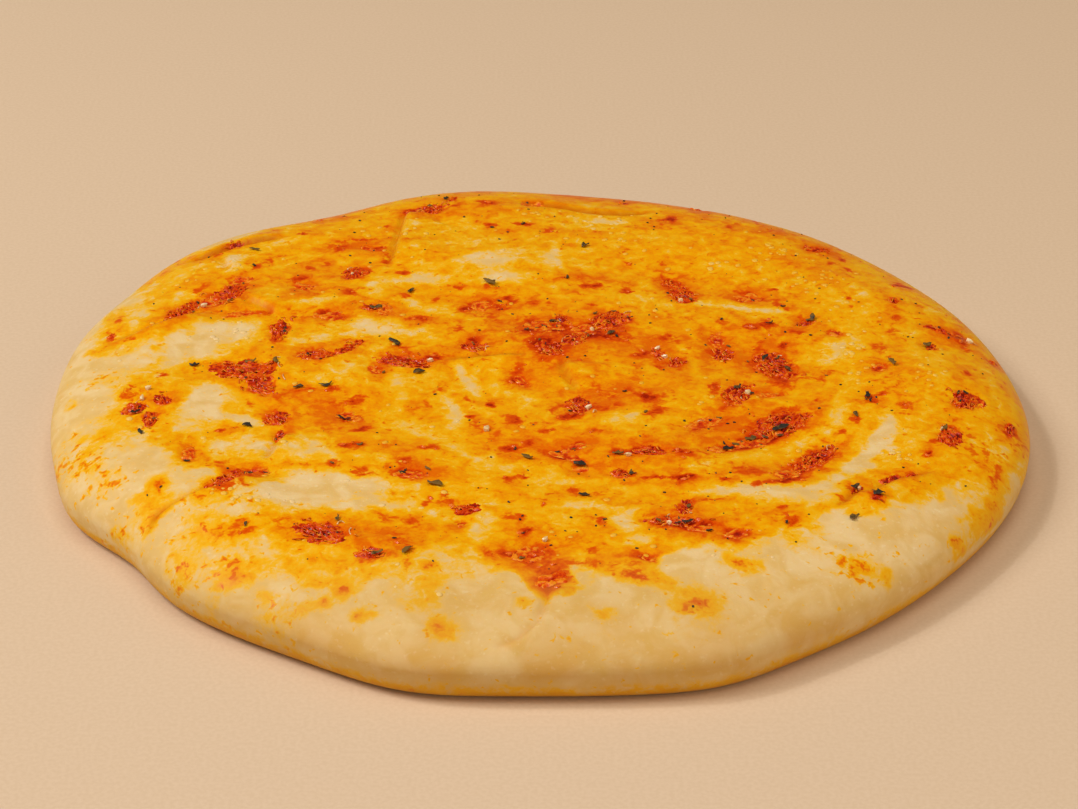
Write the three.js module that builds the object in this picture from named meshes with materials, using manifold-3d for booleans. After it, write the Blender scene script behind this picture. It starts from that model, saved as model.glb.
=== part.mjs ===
// A round flat pizza crust, baked with a thin coat of tomato and herb sauce.
//
// Millimetres, +Z up. The crust lies on z = 0 with the middle of its outline over the origin, and the
// side that faces the viewer is at -Y. Bearings are in degrees, anticlockwise from +X, seen from above.
// The whole crust is one solid: a round slab with a soft rolled rim, folds pressed into its top, and
// the shreds of tomato and the herb leaves that baked fast to it.

import * as THREE from 'three';
import { mergeVertices } from 'three/addons/utils/BufferGeometryUtils.js';
import Module from 'manifold-3d';

const manifold = await Module();
manifold.setup();

// ---- Driving dimensions -------------------------------------------------------------------------

const CRUST = {
  radius: 148.2, // the plain round that the dough was pressed to
  thickness: 22,
  widestHeight: 9.2, // height of the rim's widest line
  shoulder: 35, // how far in from the widest line the top begins to roll over
  undercut: 5.5, // how far the rim is tucked under, down to the flat base
};

// Where the hand-pressed edge swells out of the plain round, or is drawn in.
const EDGE_SWELLS = [
  { bearing: 23, out: -1.3, spread: 30 },
  { bearing: 102, out: 6, spread: 14 },
  { bearing: 139.5, out: 8, spread: 13.5 },
  { bearing: 163, out: 3, spread: 13 },
  { bearing: 204.5, out: 1.5, spread: 5.5 },
  { bearing: 217, out: -4, spread: 7.5 },
  { bearing: 257, out: 5, spread: 10 },
  { bearing: 276, out: 3.5, spread: 12.5 },
  { bearing: 288.5, out: 5, spread: 9 },
  { bearing: 302, out: 2, spread: 12 },
  { bearing: 345, out: 2, spread: 16 },
];

// Soft rises and hollows of the top, from the proofing and from the fingers that pressed the dough.
const TOP_SWELLS = [
  { at: [-122, -60], rise: 1.4, reach: 24 },
  { at: [-82, -98], rise: 1.4, reach: 24 },
  { at: [-16, -132], rise: -2, reach: 14 },
  { at: [26, -132], rise: 0.9, reach: 20 },
  { at: [96, -98], rise: 1, reach: 26 },
  { at: [112, -12], rise: 0.7, reach: 22 },
  { at: [60, 96], rise: 0.8, reach: 30 },
  { at: [-14, 88], rise: 0.9, reach: 28 },
  { at: [-84, 62], rise: -0.7, reach: 20 },
  { at: [-20, -24], rise: -0.8, reach: 30 },
  { at: [66, -44], rise: -0.9, reach: 22 },
  { at: [-128, 8], rise: 1, reach: 22 },
];

// Long low waves over the whole top: height, wavelength and the bearing that each one runs along.
const WAVES = [
  { rise: 0.35, length: 84, bearing: 20 },
  { rise: 0.3, length: 61, bearing: 105 },
  { rise: 0.22, length: 43, bearing: 62 },
];

// Folds in the top. Each is a narrow groove along its route, with the dough on one side of it swollen
// over: side is 1 where that is the left of the route and -1 where it is the right. A fold of no depth
// has its lip alone.
const FOLDS = [
  { route: [[-50, 68], [-48.5, 85], [-47.5, 100], [-46.5, 113], [-41, 118], [-32, 121]],
    side: -1, rise: 2.2, reach: 13, depth: 1.3 },
  { route: [[-119, 80], [-110, 84], [-102, 91], [-92, 95], [-83, 98]],
    side: 1, rise: 1.6, reach: 8, depth: 1.6 },
  { route: [[-106, 82], [-105, 76], [-101, 68]],
    side: 1, rise: 1, reach: 6, depth: 0.7 },
  { route: [[-134, 20], [-126, 24], [-118, 30], [-110, 36], [-104, 41]],
    side: -1, rise: 1.5, reach: 12, depth: 1.3 },
  { route: [[-97, 52], [-93, 45], [-87, 40], [-83, 33]],
    side: 1, rise: 1.4, reach: 10, depth: 1 },
  { route: [[-109, -92], [-106, -85], [-99, -81], [-92, -76], [-84, -69], [-76, -63]],
    side: -1, rise: 2.4, reach: 16, depth: 1.6 },
  { route: [[-75, -43], [-76, -50], [-78, -60]],
    side: 1, rise: 1.3, reach: 9, depth: 0.9 },
  { route: [[3, -125], [2, -134], [0, -140], [-5, -145], [-13, -148]],
    side: 1, rise: 1.6, reach: 14, depth: 1.1 },
  { route: [[82, -89], [88, -80], [94, -77], [100, -71], [107, -67], [114, -62]],
    side: -1, rise: 1.4, reach: 12, depth: 1.2 },
  { route: [[-9, 127], [8, 122], [18, 117], [30, 116], [42, 118]],
    side: 1, rise: 0.8, reach: 8, depth: 0.9 },
  { route: [[8, 5], [7, -1], [9, -9], [12, -17]],
    side: 1, rise: 1.1, reach: 12, depth: 0.9 },
  { route: [[-30, 5], [-18, 7], [-9, 8], [-2, 8]],
    side: -1, rise: 0.6, reach: 8, depth: 0.7 },
  { route: [[120, 32], [128, 28], [137, 21]],
    side: -1, rise: 1, reach: 6, depth: 0 },
];

const GROOVE_HALF_WIDTH = 1.1; // at the surface of the dough
const GROOVE_STEP = 4.5; // between the sections of a groove
const GROOVE_END_LIFT = 0.1; // of a groove's ends, over the dough
const GROOVE_CLEARANCE = 2.5; // of what cuts a groove, over the dough
const FOLD_LIP = 2.5; // width of the steep side of a fold's swollen lip

// Tomato shreds and clots that stand proud of the dough, each in a dent of its own. turn is the
// bearing of the long way.
const TOMATO = [
  { at: [-88, -1], long: 24, wide: 13, turn: 170 },
  { at: [-83, -13], long: 16, wide: 8, turn: 110 },
  { at: [-102, 48], long: 17, wide: 7, turn: 55 },
  { at: [-114, 37], long: 12, wide: 6, turn: 50 },
  { at: [-80, 26], long: 10, wide: 6, turn: 70 },
  { at: [-93, 36], long: 9, wide: 4, turn: 15 },
  { at: [-67, 6], long: 20, wide: 5, turn: 25 },
  { at: [-60, 67], long: 9, wide: 7, turn: 40 },
  { at: [-40, 5], long: 19, wide: 7, turn: 165 },
  { at: [-20, 13], long: 8, wide: 5, turn: 130 },
  { at: [-119, -27], long: 9, wide: 6, turn: 30 },
  { at: [-78, -35], long: 8, wide: 7, turn: 90 },
  { at: [-55, -33], long: 8, wide: 5, turn: 150 },
  { at: [-89, -73], long: 13, wide: 4, turn: 38 },
  { at: [-60, -100], long: 17, wide: 10, turn: 155 },
  { at: [-46, -113], long: 8, wide: 4, turn: 165 },
  { at: [-21, -89], long: 8, wide: 5, turn: 20 },
  { at: [-17, 43], long: 11, wide: 5, turn: 160 },
  { at: [-38, 119], long: 11, wide: 5, turn: 15 },
  { at: [0, 124], long: 10, wide: 4, turn: 165 },
  { at: [5, 31], long: 22, wide: 8, turn: 0 },
  { at: [24, 30], long: 13, wide: 11, turn: 60 },
  { at: [5, 12], long: 12, wide: 9, turn: 110 },
  { at: [11, -25], long: 11, wide: 5, turn: 100 },
  { at: [47, 53], long: 19, wide: 6, turn: 115 },
  { at: [68, 49], long: 11, wide: 5, turn: 165 },
  { at: [56, 14], long: 13, wide: 6, turn: 95 },
  { at: [38, 6], long: 9, wide: 5, turn: 140 },
  { at: [72, 0], long: 20, wide: 10, turn: 115 },
  { at: [59, -19], long: 13, wide: 6, turn: 70 },
  { at: [51, -35], long: 11, wide: 4, turn: 40 },
  { at: [70, -37], long: 22, wide: 13, turn: 45 },
  { at: [55, -51], long: 15, wide: 4, turn: 20 },
  { at: [77, -60], long: 25, wide: 7, turn: 48 },
  { at: [31, -55], long: 17, wide: 4, turn: 175 },
  { at: [39, -94], long: 15, wide: 7, turn: 5 },
  { at: [2, -118], long: 19, wide: 14, turn: 90 },
  { at: [128, -20], long: 11, wide: 8, turn: 40 },
  { at: [120, -42], long: 8, wide: 5, turn: 80 },
  { at: [128, 27], long: 15, wide: 4, turn: 152 },
  { at: [140, -28], long: 13, wide: 4, turn: 70 },
  { at: [94, 88], long: 7, wide: 5, turn: 20 },
];

const TOMATO_RISE = 1; // above the dough
const TOMATO_ROOT = 1.3; // below the dough
const TOMATO_DENT = 0.7; // depth of the dent that a shred lies in
const OUTLINE_STEP = 4; // about the length of one side of a shred's outline
const OUTLINE_JITTER = 0.28; // share of the radius by which a shred's outline wanders

// Dried herb leaves: the larger ones that lie on the sauce.
const LEAVES = [
  { at: [-57, -34], long: 4.4, turn: 150 },
  { at: [71, -40], long: 5, turn: 30 },
  { at: [-28, -75], long: 6, turn: 155 },
  { at: [-45, 15], long: 5, turn: 125 },
  { at: [-16, 57], long: 5, turn: 130 },
  { at: [-52, 41], long: 4, turn: 170 },
  { at: [12, -62], long: 3.6, turn: 165 },
  { at: [86, 31], long: 4, turn: 60 },
  { at: [121, 14], long: 4, turn: 50 },
  { at: [108, -1], long: 4.5, turn: 100 },
  { at: [-95, 85], long: 3.6, turn: 160 },
  { at: [-64, -14], long: 4, turn: 20 },
  { at: [87, -93], long: 3.4, turn: 40 },
  { at: [98, -22], long: 3.6, turn: 80 },
  { at: [16, 86], long: 3.4, turn: 50 },
  { at: [-35, -112], long: 4, turn: 60 },
];

const LEAF_ROOT = 0.9; // below the dough
const LEAF_RISE = 0.9; // above the dough
const LEAF_SLIMNESS = 0.5; // width against length

// How finely the slab is divided.
const FLAT_RINGS = 15; // rings on the level middle of the top
const SHOULDER_RINGS = 7; // rings on the shoulder, down to the widest line
const UNDERSIDE_RINGS = 3; // rings from the widest line down to the base

const SEED = 7;

// ---- Small helpers ------------------------------------------------------------------------------

const radians = THREE.MathUtils.degToRad;

// A generator of repeatable numbers from 0 to 1.
function seededRandom(seed) {
  let state = seed;
  return () => {
    state = (state * 16807) % 2147483647;
    return state / 2147483647;
  };
}

// A soft hill of height 1 that has faded to nothing at about twice its spread.
function hill(distance, spread) {
  return Math.exp(-((distance / spread) ** 2));
}

function smoothstep(low, high, value) {
  return THREE.MathUtils.smoothstep(value, low, high);
}

// A closed geometry from corner points and triangles that index them.
function closedGeometry(points, triangles) {
  const geometry = new THREE.BufferGeometry();
  geometry.setAttribute('position', new THREE.Float32BufferAttribute(points.flat(), 3));
  geometry.setIndex(triangles.flat());
  return geometry;
}

// The solid that joins to and cuts others, from a closed geometry.
function toSolid(geometry) {
  const merged = mergeVertices(geometry, 1e-5);
  const vertProperties = new Float32Array(merged.getAttribute('position').array);
  const triVerts = new Uint32Array(merged.getIndex().array);
  return new manifold.Manifold(new manifold.Mesh({ numProp: 3, vertProperties, triVerts }));
}

function toGeometry(solid) {
  const { vertProperties, triVerts } = solid.getMesh();
  const geometry = new THREE.BufferGeometry();
  geometry.setAttribute('position', new THREE.Float32BufferAttribute(Array.from(vertProperties), 3));
  geometry.setIndex(Array.from(triVerts));
  return geometry;
}

// ---- The form of the dough ----------------------------------------------------------------------

function edgeRadius(bearing) {
  let radius = CRUST.radius;
  for (const swell of EDGE_SWELLS) {
    const apart = THREE.MathUtils.euclideanModulo(bearing - swell.bearing + 180, 360) - 180;
    radius += swell.out * hill(apart, swell.spread);
  }
  return radius;
}

// The nearest point of a fold's route: how far away, which side (left is positive), and how far along.
function nearestOnRoute(route, x, y) {
  let nearest = { distance: Infinity, along: 0, length: 0 };
  let travelled = 0;
  for (let i = 1; i < route.length; i += 1) {
    const [ax, ay] = route[i - 1];
    const [dx, dy] = [route[i][0] - ax, route[i][1] - ay];
    const length = Math.hypot(dx, dy);
    const share = THREE.MathUtils.clamp(((x - ax) * dx + (y - ay) * dy) / length ** 2, 0, 1);
    const distance = Math.hypot(x - ax - share * dx, y - ay - share * dy);
    if (distance < nearest.distance) {
      const side = Math.sign(dx * (y - ay) - dy * (x - ax)) || 1;
      nearest = { distance, side, along: travelled + share * length };
    }
    travelled += length;
  }
  return { ...nearest, length: travelled };
}

// Height of the swollen lip beside a fold: steep at the groove, then easing away over its reach.
function foldLip(fold, x, y) {
  const near = nearestOnRoute(fold.route, x, y);
  const across = near.distance * near.side * fold.side;
  const fromEnd = Math.min(near.along, near.length - near.along);
  const ends = smoothstep(-1, near.length / 3, fromEnd);
  const rise = smoothstep(-FOLD_LIP / 2, FOLD_LIP, across);
  return fold.rise * ends * rise * hill(Math.max(across, 0), fold.reach);
}

function tomatoDent(shred, x, y) {
  const turn = radians(shred.turn);
  const [dx, dy] = [x - shred.at[0], y - shred.at[1]];
  const along = (dx * Math.cos(turn) + dy * Math.sin(turn)) / shred.long;
  const across = (dy * Math.cos(turn) - dx * Math.sin(turn)) / shred.wide;
  return -TOMATO_DENT * hill(Math.hypot(along, across), 0.7);
}

// What the top has beyond its plain rolled shape.
function relief(x, y) {
  let height = 0;
  for (const swell of TOP_SWELLS) {
    height += swell.rise * hill(Math.hypot(x - swell.at[0], y - swell.at[1]), swell.reach);
  }
  for (const wave of WAVES) {
    const along = x * Math.cos(radians(wave.bearing)) + y * Math.sin(radians(wave.bearing));
    height += wave.rise * Math.sin((2 * Math.PI * along) / wave.length);
  }
  for (const fold of FOLDS) {
    height += foldLip(fold, x, y);
  }
  for (const shred of TOMATO) {
    height += tomatoDent(shred, x, y);
  }
  return height;
}

// Height of the dough's upper surface over a point of the plan.
function topHeight(x, y) {
  const edge = edgeRadius(THREE.MathUtils.radToDeg(Math.atan2(y, x)));
  const inward = edge - CRUST.shoulder;
  const roll = THREE.MathUtils.clamp((Math.hypot(x, y) - inward) / CRUST.shoulder, 0, 1);
  const level = Math.sqrt(1 - roll ** 2);
  return CRUST.widestHeight + (CRUST.thickness - CRUST.widestHeight + relief(x, y)) * level;
}

// The slab: rings of points from the middle of the top, over the rim and down to the flat base. The
// ring k of the top has 6k points, so its triangles are near to equal-sided everywhere.
function slabGeometry() {
  const points = [[0, 0, topHeight(0, 0)]];
  const triangles = [];
  const topRings = FLAT_RINGS + SHOULDER_RINGS;
  let ringStart = 0;
  for (let ring = 1; ring <= topRings; ring += 1) {
    const innerStart = ringStart;
    ringStart = points.length;
    const roll = ((ring - FLAT_RINGS) / SHOULDER_RINGS) * (Math.PI / 2);
    for (let i = 0; i < 6 * ring; i += 1) {
      const turn = (2 * Math.PI * i) / (6 * ring);
      const inward = edgeRadius(THREE.MathUtils.radToDeg(turn)) - CRUST.shoulder;
      const onLevel = (inward * ring) / FLAT_RINGS;
      const reach = ring <= FLAT_RINGS ? onLevel : inward + CRUST.shoulder * Math.sin(roll);
      const [x, y] = [reach * Math.cos(turn), reach * Math.sin(turn)];
      points.push([x, y, ring === topRings ? CRUST.widestHeight : topHeight(x, y)]);
    }
    for (let sector = 0; sector < 6; sector += 1) {
      for (let i = 0; i < ring; i += 1) {
        const outer = ringStart + sector * ring + i;
        const outerNext = ringStart + ((sector * ring + i + 1) % (6 * ring));
        const innerCount = Math.max(6 * (ring - 1), 1);
        const inner = innerStart + ((sector * (ring - 1) + i) % innerCount);
        triangles.push([outer, outerNext, inner]);
        if (i < ring - 1) {
          const innerNext = innerStart + ((sector * (ring - 1) + i + 1) % innerCount);
          triangles.push([outerNext, innerNext, inner]);
        }
      }
    }
  }

  const around = 6 * topRings;
  for (let ring = 1; ring <= UNDERSIDE_RINGS; ring += 1) {
    const above = ringStart;
    ringStart = points.length;
    const tuck = (ring / UNDERSIDE_RINGS) * (Math.PI / 2);
    for (let i = 0; i < around; i += 1) {
      const turn = (2 * Math.PI * i) / around;
      const edge = edgeRadius(THREE.MathUtils.radToDeg(turn));
      const reach = edge - CRUST.undercut * (1 - Math.cos(tuck));
      const height = ring === UNDERSIDE_RINGS ? 0 : CRUST.widestHeight * (1 - Math.sin(tuck));
      points.push([reach * Math.cos(turn), reach * Math.sin(turn), height]);
    }
    for (let i = 0; i < around; i += 1) {
      const next = (i + 1) % around;
      triangles.push([above + i, ringStart + i, ringStart + next]);
      triangles.push([above + i, ringStart + next, above + next]);
    }
  }

  const middle = points.length;
  points.push([0, 0, 0]);
  for (let i = 0; i < around; i += 1) {
    triangles.push([ringStart + i, middle, ringStart + ((i + 1) % around)]);
  }
  return closedGeometry(points, triangles);
}

// ---- What is pressed into the dough and what lies on it -------------------------------------------

// A narrow blade with a V-shaped lower edge, along a fold's route. The edge rises out of the dough at
// both ends. A section's corners go round from the edge, right side first.
function grooveGeometry(fold) {
  const stations = fold.route.map(([x, y]) => new THREE.Vector3(x, y, 0));
  const curve = new THREE.CatmullRomCurve3(stations);
  const steps = Math.ceil(curve.getLength() / GROOVE_STEP);
  const points = [];
  const triangles = [];
  for (let i = 0; i <= steps; i += 1) {
    const place = curve.getPointAt(i / steps);
    const ahead = curve.getTangentAt(i / steps);
    const ground = topHeight(place.x, place.y);
    const edge = GROOVE_END_LIFT - fold.depth * Math.sin((Math.PI * i) / steps) ** 0.6;
    const corners = [
      [0, edge],
      [GROOVE_HALF_WIDTH, GROOVE_END_LIFT],
      [GROOVE_HALF_WIDTH, GROOVE_CLEARANCE],
      [-GROOVE_HALF_WIDTH, GROOVE_CLEARANCE],
      [-GROOVE_HALF_WIDTH, GROOVE_END_LIFT],
    ];
    for (const [aside, rise] of corners) {
      points.push([place.x + ahead.y * aside, place.y - ahead.x * aside, ground + rise]);
    }
  }
  const ring = 5;
  for (let i = 0; i < steps; i += 1) {
    for (let corner = 0; corner < ring; corner += 1) {
      const a = ring * i + corner;
      const b = ring * i + ((corner + 1) % ring);
      triangles.push([a, a + ring, b + ring], [a, b + ring, b]);
    }
  }
  const last = ring * steps;
  for (let corner = 1; corner < ring - 1; corner += 1) {
    triangles.push([0, corner, corner + 1]);
    triangles.push([last, last + corner + 1, last + corner]);
  }
  return closedGeometry(points, triangles);
}

// A low lump with an uneven outline, laid on the dough: a foot below the surface, a rim just above it,
// and a rough crown.
function shredGeometry(shred, random) {
  const girth = Math.PI * (shred.long + shred.wide) / 2;
  const sides = THREE.MathUtils.clamp(Math.round(girth / OUTLINE_STEP), 6, 12);
  const turn = radians(shred.turn);
  const layers = [
    { share: 0.8, rise: () => -TOMATO_ROOT },
    { share: 1, rise: () => 0.15 },
    { share: 0.6, rise: () => TOMATO_RISE * (0.7 + 0.6 * random()) },
  ];
  const wander = Array.from({ length: sides }, () => 1 - OUTLINE_JITTER * random());
  const place = (along, across, rise) => {
    const x = shred.at[0] + along * Math.cos(turn) - across * Math.sin(turn);
    const y = shred.at[1] + along * Math.sin(turn) + across * Math.cos(turn);
    return [x, y, topHeight(x, y) + rise];
  };
  const points = [];
  for (const layer of layers) {
    for (let i = 0; i < sides; i += 1) {
      const corner = (2 * Math.PI * i) / sides;
      const along = (shred.long / 2) * wander[i] * layer.share * Math.cos(corner);
      const across = (shred.wide / 2) * wander[i] * layer.share * Math.sin(corner);
      points.push(place(along, across, layer.rise()));
    }
  }
  const foot = points.length;
  points.push(place(0, 0, -TOMATO_ROOT));
  const crown = points.length;
  points.push(place(0, 0, TOMATO_RISE * 0.6));
  const triangles = [];
  for (let i = 0; i < sides; i += 1) {
    const next = (i + 1) % sides;
    triangles.push([foot, next, i]);
    for (const layer of [0, sides]) {
      triangles.push([layer + i, layer + next, layer + sides + next]);
      triangles.push([layer + i, layer + sides + next, layer + sides + i]);
    }
    triangles.push([2 * sides + i, 2 * sides + next, crown]);
  }
  return closedGeometry(points, triangles);
}

// A dried leaf: a slim six-sided flake that stands on the dough, with one end curled up a little.
function leafGeometry(leaf) {
  const outline = new THREE.Shape();
  const [half, width] = [leaf.long / 2, (leaf.long * LEAF_SLIMNESS) / 2];
  outline.moveTo(-half, 0);
  outline.lineTo(-half * 0.4, -width);
  outline.lineTo(half * 0.5, -width * 0.7);
  outline.lineTo(half, 0);
  outline.lineTo(half * 0.3, width);
  outline.lineTo(-half * 0.5, width * 0.8);
  const thickness = LEAF_ROOT + LEAF_RISE;
  const geometry = new THREE.ExtrudeGeometry(outline, { depth: thickness, bevelEnabled: false });
  geometry.rotateZ(radians(leaf.turn));
  geometry.translate(leaf.at[0], leaf.at[1], topHeight(...leaf.at) - LEAF_ROOT);
  geometry.deleteAttribute('normal');
  geometry.deleteAttribute('uv');
  return geometry;
}

// ---- The crust ------------------------------------------------------------------------------------

function crustSolid() {
  const random = seededRandom(SEED);
  let crust = toSolid(slabGeometry());
  for (const shred of TOMATO) {
    crust = crust.add(toSolid(shredGeometry(shred, random)));
  }
  for (const leaf of LEAVES) {
    crust = crust.add(toSolid(leafGeometry(leaf)));
  }
  for (const fold of FOLDS.filter(({ depth }) => depth > 0)) {
    crust = crust.subtract(toSolid(grooveGeometry(fold)));
  }
  return crust;
}

const bakedDough = new THREE.MeshStandardMaterial({ color: 0xe6a53c, roughness: 0.55, metalness: 0 });

const crust = new THREE.Mesh(toGeometry(crustSolid()), bakedDough);
crust.name = 'crust';

const pizzaCrust = new THREE.Group();
pizzaCrust.add(crust);

export default pizzaCrust;
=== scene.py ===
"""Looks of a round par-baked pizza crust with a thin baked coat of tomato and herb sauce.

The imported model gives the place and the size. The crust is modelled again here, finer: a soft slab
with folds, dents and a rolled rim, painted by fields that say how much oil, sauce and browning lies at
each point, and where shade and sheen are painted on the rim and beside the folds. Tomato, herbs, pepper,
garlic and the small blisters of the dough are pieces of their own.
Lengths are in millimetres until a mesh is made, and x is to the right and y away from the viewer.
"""

import logging
import math
from dataclasses import dataclass, field
from enum import Enum
from functools import lru_cache, partial
from typing import Callable, Sequence

import bpy
import numpy as np
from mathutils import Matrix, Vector


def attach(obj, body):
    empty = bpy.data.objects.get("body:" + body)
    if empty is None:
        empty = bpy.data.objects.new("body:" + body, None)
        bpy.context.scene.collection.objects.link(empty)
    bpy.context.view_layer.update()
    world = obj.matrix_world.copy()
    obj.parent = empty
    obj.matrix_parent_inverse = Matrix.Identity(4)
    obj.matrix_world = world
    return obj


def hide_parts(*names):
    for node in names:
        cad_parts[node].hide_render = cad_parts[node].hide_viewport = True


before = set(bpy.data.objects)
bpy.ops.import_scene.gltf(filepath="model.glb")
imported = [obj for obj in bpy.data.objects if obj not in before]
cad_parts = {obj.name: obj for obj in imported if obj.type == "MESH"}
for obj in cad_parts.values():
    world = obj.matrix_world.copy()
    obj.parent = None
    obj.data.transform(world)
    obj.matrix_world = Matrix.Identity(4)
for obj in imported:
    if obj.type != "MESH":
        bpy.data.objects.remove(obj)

LOG = logging.getLogger("pizza_crust")
METRE = 0.001  # one millimetre, in Blender's metres
BODY = "root"

Array = np.ndarray
Settings = dict[str, object]


# ---- Colour and nodes --------------------------------------------------------


def linear(hex_code: str) -> tuple[float, float, float, float]:
    """Turns an sRGB hex colour into linear light.

    Args:
        hex_code: Six hex digits after a hash.

    Returns:
        Red, green, blue and an alpha of 1.
    """
    parts = [int(hex_code[i : i + 2], 16) / 255 for i in (1, 3, 5)]
    light = [p / 12.92 if p <= 0.04045 else ((p + 0.055) / 1.055) ** 2.4 for p in parts]
    return light[0], light[1], light[2], 1.0


def add_node(
    tree: bpy.types.NodeTree,
    kind: str,
    settings: Settings | None = None,
    inputs: Settings | None = None,
) -> bpy.types.Node:
    """Adds one node with its settings and what goes into it.

    Args:
        tree: The tree that gets the node.
        kind: Blender's type name of the node.
        settings: Properties of the node, by name.
        inputs: A constant or another node's output for each input, by its identifier or name.

    Returns:
        The new node.
    """
    node = tree.nodes.new(kind)
    for name, value in (settings or {}).items():
        setattr(node, name, value)
    by_identifier = {socket.identifier: socket for socket in node.inputs}
    for name, value in (inputs or {}).items():
        socket = by_identifier.get(name) or node.inputs[name]
        if isinstance(value, bpy.types.NodeSocket):
            tree.links.new(value, socket)
        else:
            socket.default_value = value
    return node


# ---- Noise over the plan -----------------------------------------------------


LATTICE = 256  # corners of the noise's lattice along each side, before it repeats


@lru_cache(maxsize=None)
def lattice(seed: int) -> tuple[Array, Array]:
    """Slopes at the corners of the noise's lattice, drawn from a seed."""
    angles = np.random.default_rng(seed).uniform(0, 2 * math.pi, (LATTICE, LATTICE))
    return np.cos(angles), np.sin(angles)


@dataclass(frozen=True)
class Grain:
    """Repeatable soft noise over the plan, for what has no rule of its own.

    Attributes:
        seed: The draw that the noise comes from.
    """

    seed: int

    def value(self, x: Array, y: Array, size: float) -> Array:
        """Gradient noise of about -1 to 1.

        Args:
            x: Places to the right.
            y: Places away from the viewer.
            size: Distance over which the noise turns once.

        Returns:
            One value for each place.
        """
        slope_x, slope_y = lattice(self.seed)
        u, v = x / size + 97.3, y / size + 41.9
        i, j = np.floor(u).astype(int), np.floor(v).astype(int)
        u, v = u - i, v - j
        fade_u = u * u * u * (u * (u * 6 - 15) + 10)
        fade_v = v * v * v * (v * (v * 6 - 15) + 10)

        def corner(di: int, dj: int) -> Array:
            """Slope of one lattice corner, at the place."""
            at = (i + di) % LATTICE, (j + dj) % LATTICE
            return slope_x[at] * (u - di) + slope_y[at] * (v - dj)

        low = corner(0, 0) * (1 - fade_u) + corner(1, 0) * fade_u
        high = corner(0, 1) * (1 - fade_u) + corner(1, 1) * fade_u
        return (low * (1 - fade_v) + high * fade_v) * 1.6

    def fractal(self, x: Array, y: Array, size: float, octaves: int = 4) -> Array:
        """Noise with finer noise on it, each octave half the size and a little over half the height.

        Args:
            x: Places to the right.
            y: Places away from the viewer.
            size: Size of the coarsest octave.
            octaves: How many octaves there are.

        Returns:
            One value for each place, of about -1 to 1.
        """
        total = np.zeros_like(np.asarray(x, float))
        for octave in range(octaves):
            finer = Grain(self.seed + 31 * octave)
            total += finer.value(x, y, size / 2**octave) * 0.55**octave
        return total / 1.4

    def swirled(self, x: Array, y: Array, size: float, reach: float) -> Array:
        """Noise drawn out along the rounds that the ladle made when it spread the sauce.

        Args:
            x: Places to the right.
            y: Places away from the viewer.
            size: Width of the streaks.
            reach: Length over which a streak is drawn out.

        Returns:
            One value for each place, of about -1 to 1.
        """
        steps = 9
        dx, dy = x - SWIRL_MIDDLE[0], y - SWIRL_MIDDLE[1]
        out = np.maximum(np.hypot(dx, dy), 12.0)
        total = np.zeros_like(np.asarray(x, float))
        for step in np.linspace(-0.5, 0.5, steps):
            turn = step * reach / out
            shrink = 1 + SWIRL_PITCH * turn
            turned_x = (dx * np.cos(turn) - dy * np.sin(turn)) * shrink
            turned_y = (dx * np.sin(turn) + dy * np.cos(turn)) * shrink
            total += self.fractal(turned_x, turned_y, size, 3)
        return total / steps * 2.1


SWIRL_MIDDLE = (12.0, -6.0)
SWIRL_PITCH = 0.12  # growth of the radius with each radian of the round


def smoothstep(low: float, high: float, value: Array) -> Array:
    """Eases from 0 at low to 1 at high."""
    share = np.clip((value - low) / (high - low), 0, 1)
    return share * share * (3 - 2 * share)


def hill(distance: Array, spread: float) -> Array:
    """A soft hill of height 1 that has faded to nothing at about twice its spread."""
    return np.exp(-((distance / spread) ** 2))


# ---- The form of the dough ---------------------------------------------------


@dataclass(frozen=True)
class EdgeSwell:
    """A stretch where the hand-pressed edge swells out of the plain round, or is drawn in."""

    bearing: float
    out: float
    spread: float


@dataclass(frozen=True)
class TopSwell:
    """A soft rise or hollow of the top."""

    at: tuple[float, float]
    rise: float
    reach: float


@dataclass(frozen=True)
class Wave:
    """A long low wave over the whole top."""

    rise: float
    length: float
    bearing: float


@dataclass(frozen=True)
class Fold:
    """A fold: a groove along a route, with the dough on one side of it swollen over.

    Attributes:
        route: Places that the groove passes through.
        side: 1 where the swollen lip is left of the route, -1 where it is right.
        rise: Height of the lip.
        reach: How far the lip eases away.
        depth: Depth of the groove.
        stain: How much sauce has run into the groove, from 0 to 1; it also sets the shade painted on the
            steep side of the lip.
    """

    route: tuple[tuple[float, float], ...]
    side: int
    rise: float
    reach: float
    depth: float
    stain: float

    def near(self, x: Array, y: Array) -> tuple[Array, Array, Array]:
        """Where places lie along the fold.

        Args:
            x: Places to the right.
            y: Places away from the viewer.

        Returns:
            The distance across, positive on the lip's side, the distance from the nearer end of the
            route, as a share of half its length, and the plain distance.
        """
        distance = np.full_like(x, np.inf)
        side = np.ones_like(x)
        along = np.zeros_like(x)
        travelled = 0.0
        for (ax, ay), (bx, by) in zip(self.route, self.route[1:]):
            dx, dy = bx - ax, by - ay
            length = math.hypot(dx, dy)
            share = np.clip(((x - ax) * dx + (y - ay) * dy) / length**2, 0, 1)
            away = np.hypot(x - ax - share * dx, y - ay - share * dy)
            closer = away < distance
            side = np.where(closer, np.sign(dx * (y - ay) - dy * (x - ax)), side)
            along = np.where(closer, travelled + share * length, along)
            distance = np.minimum(distance, away)
            travelled += length
        from_end = np.minimum(along, travelled - along) / (travelled / 2)
        return distance * side * self.side, from_end, distance


class Lay(Enum):
    """How a clot of tomato lies on the crust."""

    PULP = 1  # soft pulp with a low crinkled skin
    SHRED = 2  # a proud shred with fibres on it


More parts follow.
